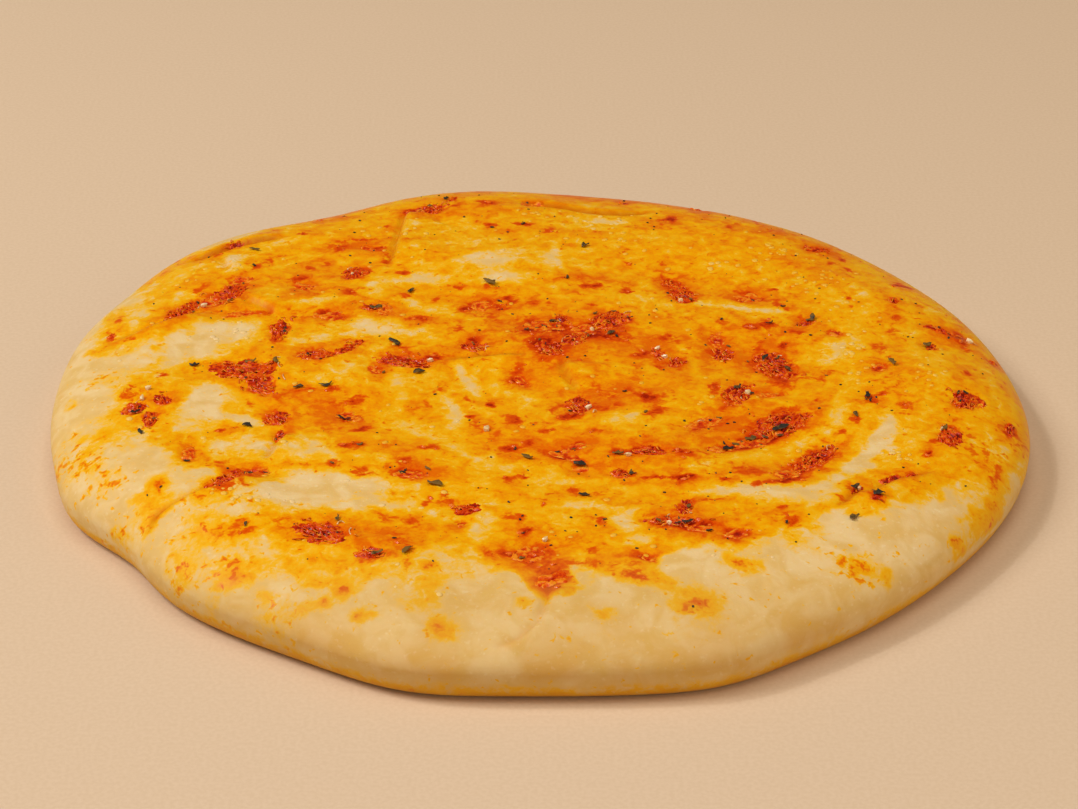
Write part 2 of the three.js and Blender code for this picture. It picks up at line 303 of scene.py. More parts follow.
@dataclass(frozen=True)
class Oval:
    """A long round area of the plan.

    Attributes:
        x: Its middle, to the right.
        y: Its middle, away from the viewer.
        long: Its long way.
        wide: Its short way.
        turn: Bearing of its long way.
    """

    x: float
    y: float
    long: float
    wide: float
    turn: float

    def place(self, x: Array, y: Array) -> tuple[Array, Array]:
        """Turns places into lengths along and across the area.

        Args:
            x: Places to the right.
            y: Places away from the viewer.

        Returns:
            The lengths along and across.
        """
        turn = math.radians(self.turn)
        dx, dy = x - self.x, y - self.y
        along = dx * math.cos(turn) + dy * math.sin(turn)
        across = dy * math.cos(turn) - dx * math.sin(turn)
        return along, across

    def ring(self, x: Array, y: Array, margin: float = 0.0) -> Array:
        """How far out places are: 0 at the middle and 1 on the outline, a margin further out."""
        along, across = self.place(x, y)
        return np.hypot(along / (self.long / 2 + margin), across / (self.wide / 2 + margin))


@dataclass(frozen=True)
class Clot(Oval):
    """A clot or shred of tomato, with how it lies."""

    lay: Lay = Lay.SHRED


@dataclass(frozen=True)
class Stain(Oval):
    """A flat stain of tomato, or a pale or rich stretch of the oil.

    Attributes:
        amount: What it adds at its middle.
    """

    amount: float = 0.7


SHRED, PULP = Lay.SHRED, Lay.PULP

CLOTS = (
    Clot(-90, -3, 20, 11, 178), Clot(-84, -12, 17, 8, 112), Clot(-100, 51, 17, 8, 62),
    Clot(-113, 39, 17, 6, 66), Clot(-106, 45, 10, 7, 62, PULP), Clot(-81, 25, 16, 6, 84),
    Clot(-95, 36, 11, 4, 15, PULP),
    Clot(-68, 6, 11, 7, 5), Clot(-59, 11, 14, 4, 56), Clot(-60, 67, 10, 7, 55),
    Clot(-42, 3, 17, 8, 166), Clot(-20, 13, 8, 6, 130), Clot(-120, -28, 8, 7, 60),
    Clot(-112, -23, 8, 5, 110), Clot(-114, -35, 9, 5, 97), Clot(-77, -34, 9, 8, 100),
    Clot(-56, -33, 8, 5, 150, PULP), Clot(-87, -72, 17, 7, 50), Clot(-79, -67, 8, 5, 150, PULP),
    Clot(-90, -76, 7, 4, 30, PULP), Clot(-59, -101, 15, 10, 150), Clot(-45, -112, 8, 5, 160),
    Clot(-20, -88, 8, 6, 20), Clot(-19, 43, 7, 7, 100, PULP), Clot(-38, 118, 13, 9, 15),
    Clot(-1, 124, 10, 4, 165, PULP), Clot(2, 27, 14, 8, 170, PULP), Clot(23, 31, 13, 11, 60),
    Clot(4, 11, 10, 8, 110), Clot(12, 17, 11, 7, 50), Clot(7, 32, 7, 4, 95),
    Clot(15, 25, 9, 6, 20, PULP), Clot(12, -25, 12, 7, 95), Clot(44, 59, 9, 4, 112),
    Clot(47, 50, 12, 7, 100), Clot(68, 48, 8, 6, 165, PULP), Clot(57, 9, 9, 7, 95),
    Clot(56, 18, 9, 5, 95, PULP), Clot(37, 8, 9, 4, 100), Clot(42, 2, 7, 5, 60),
    Clot(72, 1, 19, 11, 112), Clot(60, -19, 14, 8, 70), Clot(49, -37, 13, 5, 28, PULP),
    Clot(71, -37, 21, 11, 38), Clot(62, -47, 12, 6, 20, PULP), Clot(53, -52, 8, 4, 20, PULP),
    Clot(79, -58, 22, 7, 52), Clot(71, -67, 8, 6, 40, PULP), Clot(33, -55, 12, 5, 175),
    Clot(37, -95, 13, 5, 170), Clot(41, -87, 9, 4, 80), Clot(44, -99, 9, 3, 170, PULP),
    Clot(4, -124, 10, 6, 30, PULP), Clot(-2, -112, 9, 8, 60, PULP), Clot(128, -22, 12, 9, 50),
    Clot(120, -44, 11, 7, 80), Clot(127, 27, 11, 5, 150), Clot(140, -32, 8, 3, 75),
    Clot(94, 88, 8, 5, 20), Clot(-54, 41, 5, 4, 150), Clot(-49, 40, 7, 5, 100, PULP),
    Clot(-66, 35, 10, 6, 170, PULP), Clot(-75, -46, 7, 3, 95), Clot(-100, -56, 9, 4, 95, PULP),
    Clot(-36, -69, 9, 4, 170, PULP), Clot(-50, -3, 6, 3, 110, PULP), Clot(93, 22, 4, 4, 0, PULP),
    Clot(114, 46, 6, 3, 95), Clot(104, -3, 4, 4, 0, PULP), Clot(70, -19, 7, 3, 0, PULP),
    Clot(10, -52, 8, 3, 28, PULP), Clot(24, -67, 6, 5, 0), Clot(12, -64, 5, 4, 160, PULP),
    Clot(30, -114, 4, 3, 160, PULP), Clot(54, -102, 6, 5, 0, PULP), Clot(100, -70, 9, 3, 28),
    Clot(106, -67, 4, 2.5, 30),
    Clot(89, -77, 4, 3, 70), Clot(94, -83, 4, 3, 60), Clot(-57, 87, 5, 3, 165, PULP),
    Clot(-134, 24, 9, 3, 100, PULP), Clot(-102, 91, 6, 4, 30), Clot(-30, 127, 5, 3, 80),
    Clot(142, 14, 5, 3, 80, PULP), Clot(8, -57, 12, 3, 150, PULP), Clot(-76, 56, 7, 5, 165, PULP),
    Clot(56, 126, 6, 3, 85, PULP), Clot(85, 29, 6, 4, 40), Clot(-97, 61, 8, 5, 20, PULP),
    Clot(122, 13, 6, 3, 60), Clot(-21, -95, 4, 3, 80, PULP), Clot(-5, -9, 8, 3, 120, PULP),
)

# Stains of tomato: middle, length, width, bearing and depth, from the left to the right.
STAINS = tuple(Stain(*row) for row in (
    (-138, 42, 4, 3, 90, 0.5), (-134, 36, 8, 3, 80, 0.75), (-136, 15, 6, 3, 75, 0.7),
    (-127, 18, 4, 3, 150, 0.6), (-127, 12, 5, 2, 90, 0.5), (-121, 20, 4, 2, 20, 0.65),
    (-120, 12, 3, 2, 90, 0.4), (-115, 13, 2.5, 2, 0, 0.5), (-115, 30, 7, 5, 90, 0.7),
    (-110, 53, 12, 5, 75, 0.6), (-87, 37, 8, 3, 165, 0.75), (-78, 38, 6, 3, 0, 0.6),
    (-82, 15, 5, 3, 100, 0.7), (-67, 36, 12, 8, 170, 0.6), (-88, 8, 8, 4, 0, 0.45),
    (-97, 1, 5, 3, 0, 0.5), (-72, 9, 10, 5, 50, 0.5), (-60, 51, 6, 5, 100, 0.7),
    (-123, -18, 8, 5, 105, 0.75), (-119, -6, 12, 5, 160, 0.4), (-114, -8, 5, 3, 30, 0.5),
    (-132, -41, 3, 2, 0, 0.55), (-127, -42, 4, 3, 100, 0.6), (-130, -49, 5, 2, 70, 0.65),
    (-93, -42, 5, 3, 0, 0.75),
    (-107, -47, 2.5, 2, 0, 0.6), (-99, -54, 8, 4, 95, 0.45), (-90, -61, 8, 3, 0, 0.6),
    (-84, -73, 14, 7, 30, 0.6), (-107, -73, 8, 4, 85, 0.55), (-112, -77, 3, 2, 0, 0.65),
    (-108, -81, 4, 3, 90, 0.65), (-102, -83, 7, 2, 20, 0.8), (-72, -58, 4, 2, 0, 0.4),
    (-59, -63, 6, 4, 120, 0.8), (-54, -53, 7, 6, 170, 0.8), (-62, -53, 8, 4, 0, 0.55),
    (-50, -68, 9, 5, 160, 0.7), (-62, -41, 20, 4, 175, 0.5), (-51, -41, 5, 4, 90, 0.7),
    (-62, -25, 7, 4, 160, 0.7), (-54, -23, 7, 6, 60, 0.8), (-62, -17, 5, 3, 90, 0.8),
    (-70, -17, 7, 3, 0, 0.6), (-38, -62, 7, 5, 60, 0.75),
    (-37, -69, 13, 7, 170, 0.65), (-25, -82, 9, 3, 115, 0.6), (-31, -84, 4, 3, 80, 0.8),
    (-41, -81, 6, 3, 170, 0.55), (-27, -84, 3, 3, 0, 0.6), (-38, -105, 9, 6, 150, 0.65),
    (-42, -93, 7, 4, 30, 0.45), (-33, -95, 6, 4, 90, 0.5), (-29, -119, 2.5, 2, 0, 0.7),
    (-44, -121, 4, 2, 0, 0.6), (-58, -122, 6, 3, 170, 0.75), (-51, -126, 4, 3, 130, 0.75),
    (-56, -129, 3, 2, 0, 0.6), (-80, -117, 6, 3, 160, 0.5), (-72, -124, 4, 2, 150, 0.5),
    (-32, -133, 4, 2, 20, 0.5), (-4, -133, 2, 2, 0, 0.7), (-26, -141, 4, 3, 20, 0.55),
    (-45, -136, 4, 2, 160, 0.5), (17, -138, 3, 2, 0, 0.6), (-8, -71, 5, 4, 60, 0.75),
    (-4, -69, 5, 3, 160, 0.75), (10, -77, 6, 3, 0, 0.75), (18, -79, 6, 3, 165, 0.65),
    (3, -79, 4, 2, 0, 0.6), (1, -85, 5, 3, 70, 0.7), (-6, -83, 6, 4, 0, 0.5),
    (-7, -93, 6, 6, 0, 0.6), (17, -95, 8, 5, 80, 0.55), (-3, -100, 5, 4, 60, 0.8),
    (-11, -112, 14, 5, 175, 0.62), (0, -113, 16, 12, 40, 0.3), (4, -119, 12, 9, 80, 0.3),
    (3, -127, 8, 5, 90, 0.55), (25, -121, 10, 6, 125, 0.75), (17, -116, 7, 6, 90, 0.5),
    (14, -111, 6, 4, 0, 0.5), (27, -113, 7, 5, 90, 0.6), 
    (-21, -21, 5, 3, 120, 0.7), (-34, -26, 5, 4, 40, 0.6), (-31, -15, 6, 4, 90, 0.5),
    (-27, -33, 4, 2, 100, 0.6), (-20, -32, 3, 3, 0, 0.7), (-14, -24, 6, 3, 120, 0.85),
    (-5, -36, 15, 5, 155, 0.6), (-8, -33, 6, 4, 0, 0.65), (-5, -9, 10, 5, 125, 0.6),
    (-5, -1, 7, 4, 100, 0.8), (-18, -38, 6, 4, 110, 0.55), (-15, -45, 8, 5, 60, 0.55),
    (-31, -53, 6, 4, 10, 0.75), (-8, -52, 8, 4, 20, 0.8), (-3, -49, 5, 3, 100, 0.75),
    (3, -42, 6, 3, 35, 0.85), (17, -43, 5, 3, 160, 0.75), (5, -28, 8, 4, 75, 0.6),
    (10, -34, 9, 5, 30, 0.75), (19, -28, 6, 5, 120, 0.8), (22, -22, 6, 4, 160, 0.65),
    (28, -18, 5, 3, 130, 0.7), (33, -22, 8, 5, 100, 0.7), (34, -31, 7, 5, 60, 0.7),
    (24, -26, 4, 3, 0, 0.65), (19, -17, 8, 5, 160, 0.5), (36, -48, 6, 5, 60, 0.5),
    (42, -57, 8, 6, 30, 0.65), (4, -56, 10, 4, 160, 0.75), (24, -57, 8, 5, 0, 0.8),
    (30, -50, 8, 5, 0, 0.25), (42, -72, 7, 5, 120, 0.75), (35, -70, 28, 2, 178, 0.65),
    (61, -67, 12, 5, 10, 0.75), (65, -73, 14, 4, 10, 0.6), (73, -71, 4, 4, 0, 0.75),
    (53, -72, 3.5, 3, 0, 0.85), (49, -83, 7, 2, 10, 0.8), (39, -96, 18, 9, 175, 0.6),
    (46, -103, 13, 4, 170, 0.35), (54, -102, 8, 6, 40, 0.5), (68, -88, 5, 2.5, 30, 0.8),
    (68, -94, 7, 5, 140, 0.6), (61, -91, 4, 3, 90, 0.5), (30, -85, 4, 3, 0, 0.6),
    (69, -105, 5, 2, 95, 0.55), (54, -117, 8, 4, 160, 0.8), (34, -125, 4, 2, 90, 0.6),
    (42, -134, 9, 6, 20, 0.85), (84, -84, 8, 4, 55, 0.5), (91, -79, 8, 3, 155, 0.4),
    (105, -77, 6, 4, 80, 0.5), (86, -112, 3.5, 3, 0, 0.6), (94, -112, 4, 2.5, 30, 0.5),
    (117, -91, 4, 2, 50, 0.65), (101, -21, 10, 3, 20, 0.75), (100, -25, 4, 4, 0, 0.8),
    (93, -36, 5, 4, 40, 0.75), (88, -42, 4, 4, 70, 0.6), (109, -28, 6, 5, 90, 0.6),
    (114, -48, 4, 4, 0, 0.6), (112, -56, 5, 2, 60, 0.75), (90, -4, 3, 2.5, 60, 0.75),
    (86, -8, 10, 5, 40, 0.45), (54, -15, 8, 4, 70, 0.75), (55, -29, 5, 3, 70, 0.75),
    (74, -12, 10, 6, 100, 0.55), (83, -23, 3, 2, 0, 0.6), (70, -37, 24, 14, 38, 0.6),
    (78, -58, 26, 10, 52, 0.55), (50, -39, 10, 5, 28, 0.35), (62, -48, 22, 8, 25, 0.55),
    (-2, 21, 12, 14, 20, 0.5), (10, 22, 34, 20, 8, 0.5), (22, 22, 12, 10, 60, 0.6),
    (-12, 42, 9, 6, 150, 0.75), (-9, 46, 7, 3, 110, 0.8), (-26, 55, 4, 3, 0, 0.75),
    (-43, 50, 4, 4, 60, 0.7), (-2, 44, 3.5, 3, 0, 0.75), (3, 44, 3, 2, 0, 0.6),
    (-34, 47, 7, 3, 0, 0.6), (-24, 41, 5, 4, 100, 0.6), (-25, 24, 7, 4, 110, 0.6),
    (-17, 34, 9, 6, 150, 0.55), (-38, 33, 8, 5, 5, 0.85), (-49, 37, 8, 5, 110, 0.65),
    (-20, 18, 6, 4, 110, 0.6), (-32, 6, 8, 5, 10, 0.8), (-42, 12, 12, 4, 125, 0.6),
    (-50, -4, 7, 4, 110, 0.75), (-15, 55, 9, 4, 125, 0.5), (15, 56, 6, 3, 80, 0.7),
    (19, 57, 7, 3, 80, 0.7), (8, 61, 4, 3, 0, 0.65), (29, 53, 6, 4, 110, 0.7),
    (16, 63, 10, 4, 0, 0.5), (17, 41, 4, 3, 0, 0.6), (21, 2, 5, 2, 0, 0.6),
    (12, 3, 4, 2, 80, 0.7), (27, 17, 7, 5, 30, 0.5), (44, 56, 18, 7, 108, 0.6),
    (65, 53, 6, 4, 140, 0.75), (64, 47, 8, 3, 170, 0.7), (76, 53, 5, 2, 0, 0.6),
    (77, 43, 7, 4, 125, 0.75), (79, 38, 3.5, 2, 90, 0.85), (75, 46, 7, 3, 0, 0.55),
    (49, 37, 6, 2, 170, 0.6), (58, 30, 8, 6, 90, 0.5), (67, 26, 8, 4, 0, 0.8),
    (73, 27, 8, 5, 95, 0.75), (83, 33, 4, 3, 150, 0.75), (81, 22, 6, 3, 170, 0.7),
    (86, 17, 4, 2, 120, 0.6), (38, 18, 9, 6, 0, 0.55), (32, 6, 7, 5, 0, 0.7),
    (53, 13, 7, 3, 90, 0.35), (72, 0, 22, 14, 112, 0.55), (76, 14, 5, 3, 80, 0.7),
    (70, 17, 3, 3, 0, 0.6), (80, 9, 4, 3, 80, 0.5), (114, 40, 5, 2, 90, 0.75),
    (114, 33, 6, 3, 95, 0.75), (111, 22, 5, 4, 60, 0.65), (108, 29, 4, 2, 30, 0.5),
    (100, 46, 2.5, 2, 0, 0.6), (100, 40, 2, 2, 0, 0.6), (120, 63, 12, 3, 20, 0.7),
    (105, 8, 14, 9, 80, 0.35), (-66, 88, 10, 6, 100, 0.75), (-60, 93, 8, 3, 0, 0.65),
    (-54, 86, 6, 4, 0, 0.75), (-50, 77, 12, 3, 90, 0.7), (-60, 67, 13, 10, 55, 0.6),
    (-75, 71, 4, 4, 0, 0.75), (-70, 75, 4, 2, 100, 0.6), (-93, 72, 15, 3.5, 60, 0.75),
    (-77, 61, 7, 5, 0, 0.75), (-86, 81, 4, 3, 0, 0.5), (-107, 85, 6, 3, 60, 0.7),
    (-91, 103, 9, 2, 85, 0.6), (-80, 99, 6, 3, 0, 0.6), (-76, 101, 5, 2, 90, 0.5),
    (-52, 105, 3, 2, 0, 0.75), (-67, 117, 6, 2, 95, 0.6), (-75, 115, 8, 3, 100, 0.5),
    (-45, 117, 6, 4, 60, 0.6), (-28, 120, 4, 4, 0, 0.65), (-18, 123, 7, 5, 120, 0.75),
    (-16, 104, 6, 4, 0, 0.75), (-21, 107, 3, 3, 0, 0.6), (-5, 104, 8, 3, 0, 0.8),
    (-43, 89, 3, 2.5, 0, 0.65), (-44, 66, 4, 3, 0, 0.7), (-34, 81, 2.5, 2, 0, 0.6),
    (-10, 98, 5, 3, 100, 0.5), (46, 109, 9, 3, 88, 0.8), (41, 109, 9, 3, 0, 0.6),
    (42, 105, 4, 2, 90, 0.6), (33, 105, 4, 2, 90, 0.55), (4, 99, 7, 5, 60, 0.6),
    (12, 98, 5, 3, 140, 0.6), (20, 98, 3, 2, 0, 0.65), (65, 102, 6, 3, 100, 0.75),
    (64, 96, 4, 2, 60, 0.6), (75, 114, 20, 3, 92, 0.7), (79, 100, 6, 3, 95, 0.75),
    (94, 88, 12, 7, 20, 0.65), (101, 81, 7, 3, 100, 0.7), (97, 75, 5, 3, 60, 0.8),
    (84, 76, 4, 2, 160, 0.75), (102, 70, 6, 2, 95, 0.65), (30, 128, 4, 3, 90, 0.75),
    (28, 82, 3, 2, 60, 0.65), (41, 74, 4, 2, 70, 0.7), (30, 73, 6, 3, 150, 0.55),
    (118, 64, 7, 2, 60, 0.6), (131, -60, 12, 3, 78, 0.75), (128, -78, 12, 3, 58, 0.6),
    (-78, -96, 22, 5, 2, 0.5), (-80, -97, 7, 5, 0, 0.5), (-92, -67, 14, 7, 100, 0.45),
    (-106, -74, 9, 5, 95, 0.42), (-104, -85, 8, 2, 20, 0.6), (-107, -88, 5, 2, 80, 0.5),
    (-98, -105, 12, 4, 130, 0.42), (-88, -80, 17, 10, 40, 0.55), (-80, -114, 13, 5, 158, 0.42),
    (-86, -99, 16, 7, 10, 0.45), (-34, -121, 17, 11, 90, 0.4), (-92, -92, 10, 5, 20, 0.3),
    (-64, -118, 9, 4, 160, 0.45), (-50, -122, 7, 4, 140, 0.45), (-60, -130, 6, 2, 10, 0.6),
    (-28, -128, 9, 4, 95, 0.42), (-24, -143, 4, 3, 0, 0.6), (-47, -135, 3, 2, 60, 0.6),
    (-80, -100, 5, 3, 0, 0.75), (-84, -117, 4, 2, 20, 0.6), (40, -131, 11, 7, 0, 0.45),
    (-40, -117, 13, 8, 0, 0.4), (-74, -49, 8, 5, 95, 0.5), (92, -86, 10, 6, 60, 0.2),
    (-121, 91, 16, 6, 125, 0.5), (-70, 126, 17, 6, 25, 0.4), (79, 115, 15, 7, 130, -0.55),
    (-73, -113, 9, 5, 130, 0.35), (47, -108, 8, 5, 0, 0.3), (-105, -47, 8, 6, 0, -0.35),
    (9, -117, 9, 8, 0, 0.45), (41, -1, 11, 8, 60, 0.5), (37, -24, 9, 7, 60, 0.5),
    (-134, 45, 11, 7, 90, 0.36), (124, -70, 15, 8, 60, 0.4), (-125, -46, 10, 6, 90, 0.36),
    (-101, -62, 9, 7, 90, 0.4), (-119, -84, 9, 3, 130, 0.35), (-136, 30, 11, 6, 90, 0.4),
    (47, -60, 14, 7, 20, 0.38), (107, -12, 22, 9, 95, 0.42), (133, 24, 16, 8, 85, 0.5),
    (-124, -18, 12, 8, 100, 0.4), (-78, -21, 8, 5, 110, 0.4), (-69, 52, 14, 8, 0, 0.4),
    (-82, -102, 11, 6, 160, 0.42), (-22, -116, 12, 8, 90, 0.36), (70, -101, 13, 9, 90, 0.36),
    (-125, -34, 11, 7, 100, 0.5), (-118, -46, 13, 8, 100, 0.36), (-131, 11, 12, 6, 95, 0.36),
    (58, -23, 13, 8, 70, 0.4), (3, 7, 13, 9, 90, 0.6), (-84, -79, 12, 7, 35, 0.5),
    (132, -62, 22, 3, 72, 0.5), (124, -79, 14, 3, 55, 0.55),
    (142, -5, 4, 2, 85, 0.35), (136, 42, 6, 3, 110, 0.4), (131, -4, 4, 3, 80, 0.75),
    (122, 82, 8, 3, 130, 0.6), (104, 104, 8, 3, 135, 0.6), (10, 140, 8, 3, 0, 0.6),
    (-70, 128, 8, 3, 20, 0.5), (-100, 108, 8, 3, 45, 0.5), (-140, -18, 5, 2, 100, 0.4),
))

# Pale and rich stretches of the oil: middle, length, width, bearing and what they add.
OIL_PATCHES = tuple(Stain(*row) for row in (
    (-99, 24, 24, 17, 20, -0.7), (-112, 10, 30, 14, 165, -0.7), (-128, 0, 30, 14, 160, -0.6),
    # The pale stretch at (-128, 36) on the left rim is painted sheen: the rim's highlight painted as pale
    # dough.
    (-115, 49, 9, 5, 95, -0.6), (-128, 36, 20, 8, 80, -0.5), (-72, 45, 13, 4, 15, -0.6),
    (-50, 27, 20, 12, 0, -0.65), (-70, 17, 17, 4, 20, -0.55), (-54, 1, 12, 8, 90, -0.5),
    (-52, 57, 15, 5, 95, -0.5), (-98, -21, 16, 14, 120, -0.7), (-89, -35, 20, 6, 155, -0.75),
    (-104, -32, 14, 10, 60, -0.5), (-86, -51, 16, 12, 0, -0.5), (-100, -70, 18, 12, 70, -0.7),
    (-70, -53, 17, 11, 0, -0.6), (-72, -78, 42, 13, 8, -0.75), (-49, -76, 24, 10, 0, -0.5),
    (-38, -86, 17, 7, 165, -0.6), (-64, -70, 20, 7, 165, -0.35), (-26, -92, 9, 8, 100, -0.5),
    (-15, -95, 20, 7, 92, -0.6), (12, -85, 14, 4, 165, -0.45), (25, -95, 12, 7, 90, -0.6),
    (11, -121, 18, 4, 90, -0.6), (27, -106, 9, 7, 30, -0.45), (-15, -60, 24, 6, 140, -0.35),
    (-17, -73, 8, 5, 60, -0.25), (6, -72, 8, 5, 0, -0.1), (62, -78, 36, 6, 3, -0.45),
    (50, -76, 14, 6, 0, -0.2), (90, -62, 10, 8, 60, -0.55), (84, -72, 16, 5, 60, -0.45),
    (-38, 62, 16, 8, 170, -0.6), (-13, 62, 14, 8, 0, -0.6), (-35, 41, 24, 6, 150, -0.45),
    (-37, 19, 17, 5, 165, -0.3), (-23, 51, 7, 5, 20, -0.5), (-51, 12, 7, 6, 0, -0.45),
    (-24, -3, 12, 4, 95, -0.55), (-20, -13, 14, 5, 115, -0.4), (-37, -12, 12, 10, 110, -0.3),
    (-24, -32, 24, 4, 97, -0.5), (-17, -27, 16, 5, 115, -0.45), (-4, -22, 8, 3, 80, -0.5),
    (-35, -42, 18, 6, 140, -0.35), (29, -33, 9, 4, 75, -0.5), (22, -36, 10, 6, 20, -0.4),
    (101, -41, 28, 6, 76, -0.68), (95, -54, 16, 7, 60, -0.55), (76, -50, 16, 4, 55, -0.55),
    (60, -55, 18, 5, 25, -0.25), (88, -36, 20, 5, 65, -0.4), (47, -64, 8, 4, 30, -0.5),
    (68, 39, 26, 4, 167, -0.55), (56, 43, 14, 5, 0, -0.4), (87, 6, 16, 9, 70, -0.35),
    (96, 12, 14, 7, 80, -0.3), (35, 57, 7, 7, 0, -0.35), (-16, 75, 24, 10, 15, -0.38),
    (-24, 84, 16, 8, 100, -0.12), (-100, 76, 15, 7, 75, -0.5), (-64, 76, 7, 4, 90, -0.35),
    (5, 80, 28, 4, 88, -0.4), (20, 108, 15, 10, 0, -0.35), (22, 124, 17, 7, 0, -0.3),
    (5, 93, 8, 5, 0, 0.3), (56, 72, 10, 9, 60, -0.3), (-85, 92, 14, 5, 20, -0.3),
    # The pale stretch at (-122, -62) on the front-left rim is painted sheen: the rim's highlight painted as
    # pale dough.
    (-44, 100, 24, 4, 88, -0.3), (-122, -62, 40, 16, 115, -0.5),
    (25, -22, 30, 22, 170, 0.25), (-10, -45, 24, 14, 160, 0.25), (15, -52, 34, 12, 175, 0.25),
    (62, -38, 46, 30, 40, 0.12), (70, 12, 40, 26, 90, 0.2), (45, 15, 30, 30, 0, 0.22),
    (70, 55, 60, 18, 0, 0.15), (8, 20, 40, 36, 0, 0.25), (-40, 8, 32, 16, 165, 0.2),
    (-20, 46, 28, 26, 130, 0.22), (-70, -28, 34, 30, 120, 0.22), (-40, -100, 30, 18, 160, 0.25),
    (0, -110, 30, 24, 0, 0.2), (42, -98, 26, 14, 170, 0.2), (88, -80, 16, 10, 30, 0.05),
    (-85, 62, 30, 14, 60, 0.15), (-62, 88, 26, 22, 0, 0.15), (100, 92, 40, 20, 120, 0.15),
    (28, -66, 30, 12, 0, 0.2), (-30, -66, 24, 10, 165, 0.2), (-102, 42, 30, 16, 62, 0.2),
    (26, 139, 44, 12, 168, 0.5), (50, 125, 34, 14, 150, 0.38), (78, 103, 24, 14, 140, 0.3),
    (68, 80, 36, 16, 150, 0.25), (42, 70, 22, 14, 0, 0.25), (130, 23, 16, 8, 85, 0.4),
    (-22, 142, 24, 12, 15, 0.5), (-39, 115, 16, 12, 0, 0.35), (40, -11, 20, 12, 0, 0.35),
    (-75, 49, 14, 8, 10, 0.3), (-49, 58, 12, 9, 90, 0.2), (-40, 19, 14, 7, 165, 0.2),
    (18, 127, 28, 16, 160, 0.3), (-33, 30, 18, 9, 0, 0.35), (-17, 118, 20, 12, 0, 0.3),
    (-105, 99, 25, 9, 42, -0.75), (-72, 124, 28, 14, 25, 0.35), (5, 48, 16, 10, 0, 0.3),
    (-62, -108, 12, 5, 165, -0.3), (75, -83, 15, 6, 10, -0.5), (130, -48, 11, 8, 90, -0.35),
    (58, 117, 18, 12, 0, 0.3), (-58, -86, 21, 6, 5, -0.5), (-96, -71, 12, 8, 60, -0.4),
    (14, -6, 15, 10, 0, 0.35), (-93, -64, 11, 7, 0, 0.4), (-57, -61, 12, 6, 0, -0.35),
    (-67, -10, 12, 8, 0, -0.35), (-65, -58, 12, 7, 0, -0.3), (47, 103, 20, 12, 0, 0.28),
    (-42, -53, 16, 9, 0, 0.4),
    (-100, -40, 12, 8, 0, -0.3), (76, 100, 18, 12, 0, 0.2), (-52, 27, 12, 8, 0, 0.15),
))

# Where the sauce ends, as a bearing and a distance from the middle. It reaches the rim elsewhere.
SAUCE_EDGE = (
    (112, 156), (120, 155), (127, 150), (134, 152), (140, 156), (148, 156), (153, 147), (158, 139),
    (163, 139), (170, 140), (174, 139), (179, 122), (183, 122), (190, 125), (194, 129), (198, 124),
    (203, 124), (210, 119), (216, 122), (221, 123), (226, 118), (231, 120), (235, 128),
    (238, 134), (243, 134), (249, 127), (255, 116), (259, 108), (262, 119), (267, 121),
    (271, 136), (275, 128), (277, 123), (281, 128), (284, 129), (287, 116), (293, 118),
    (298, 123), (303, 120), (308, 124), (312, 121), (315, 128), (319, 130), (325, 135),
    (331, 138), (337, 147), (343, 156),
)


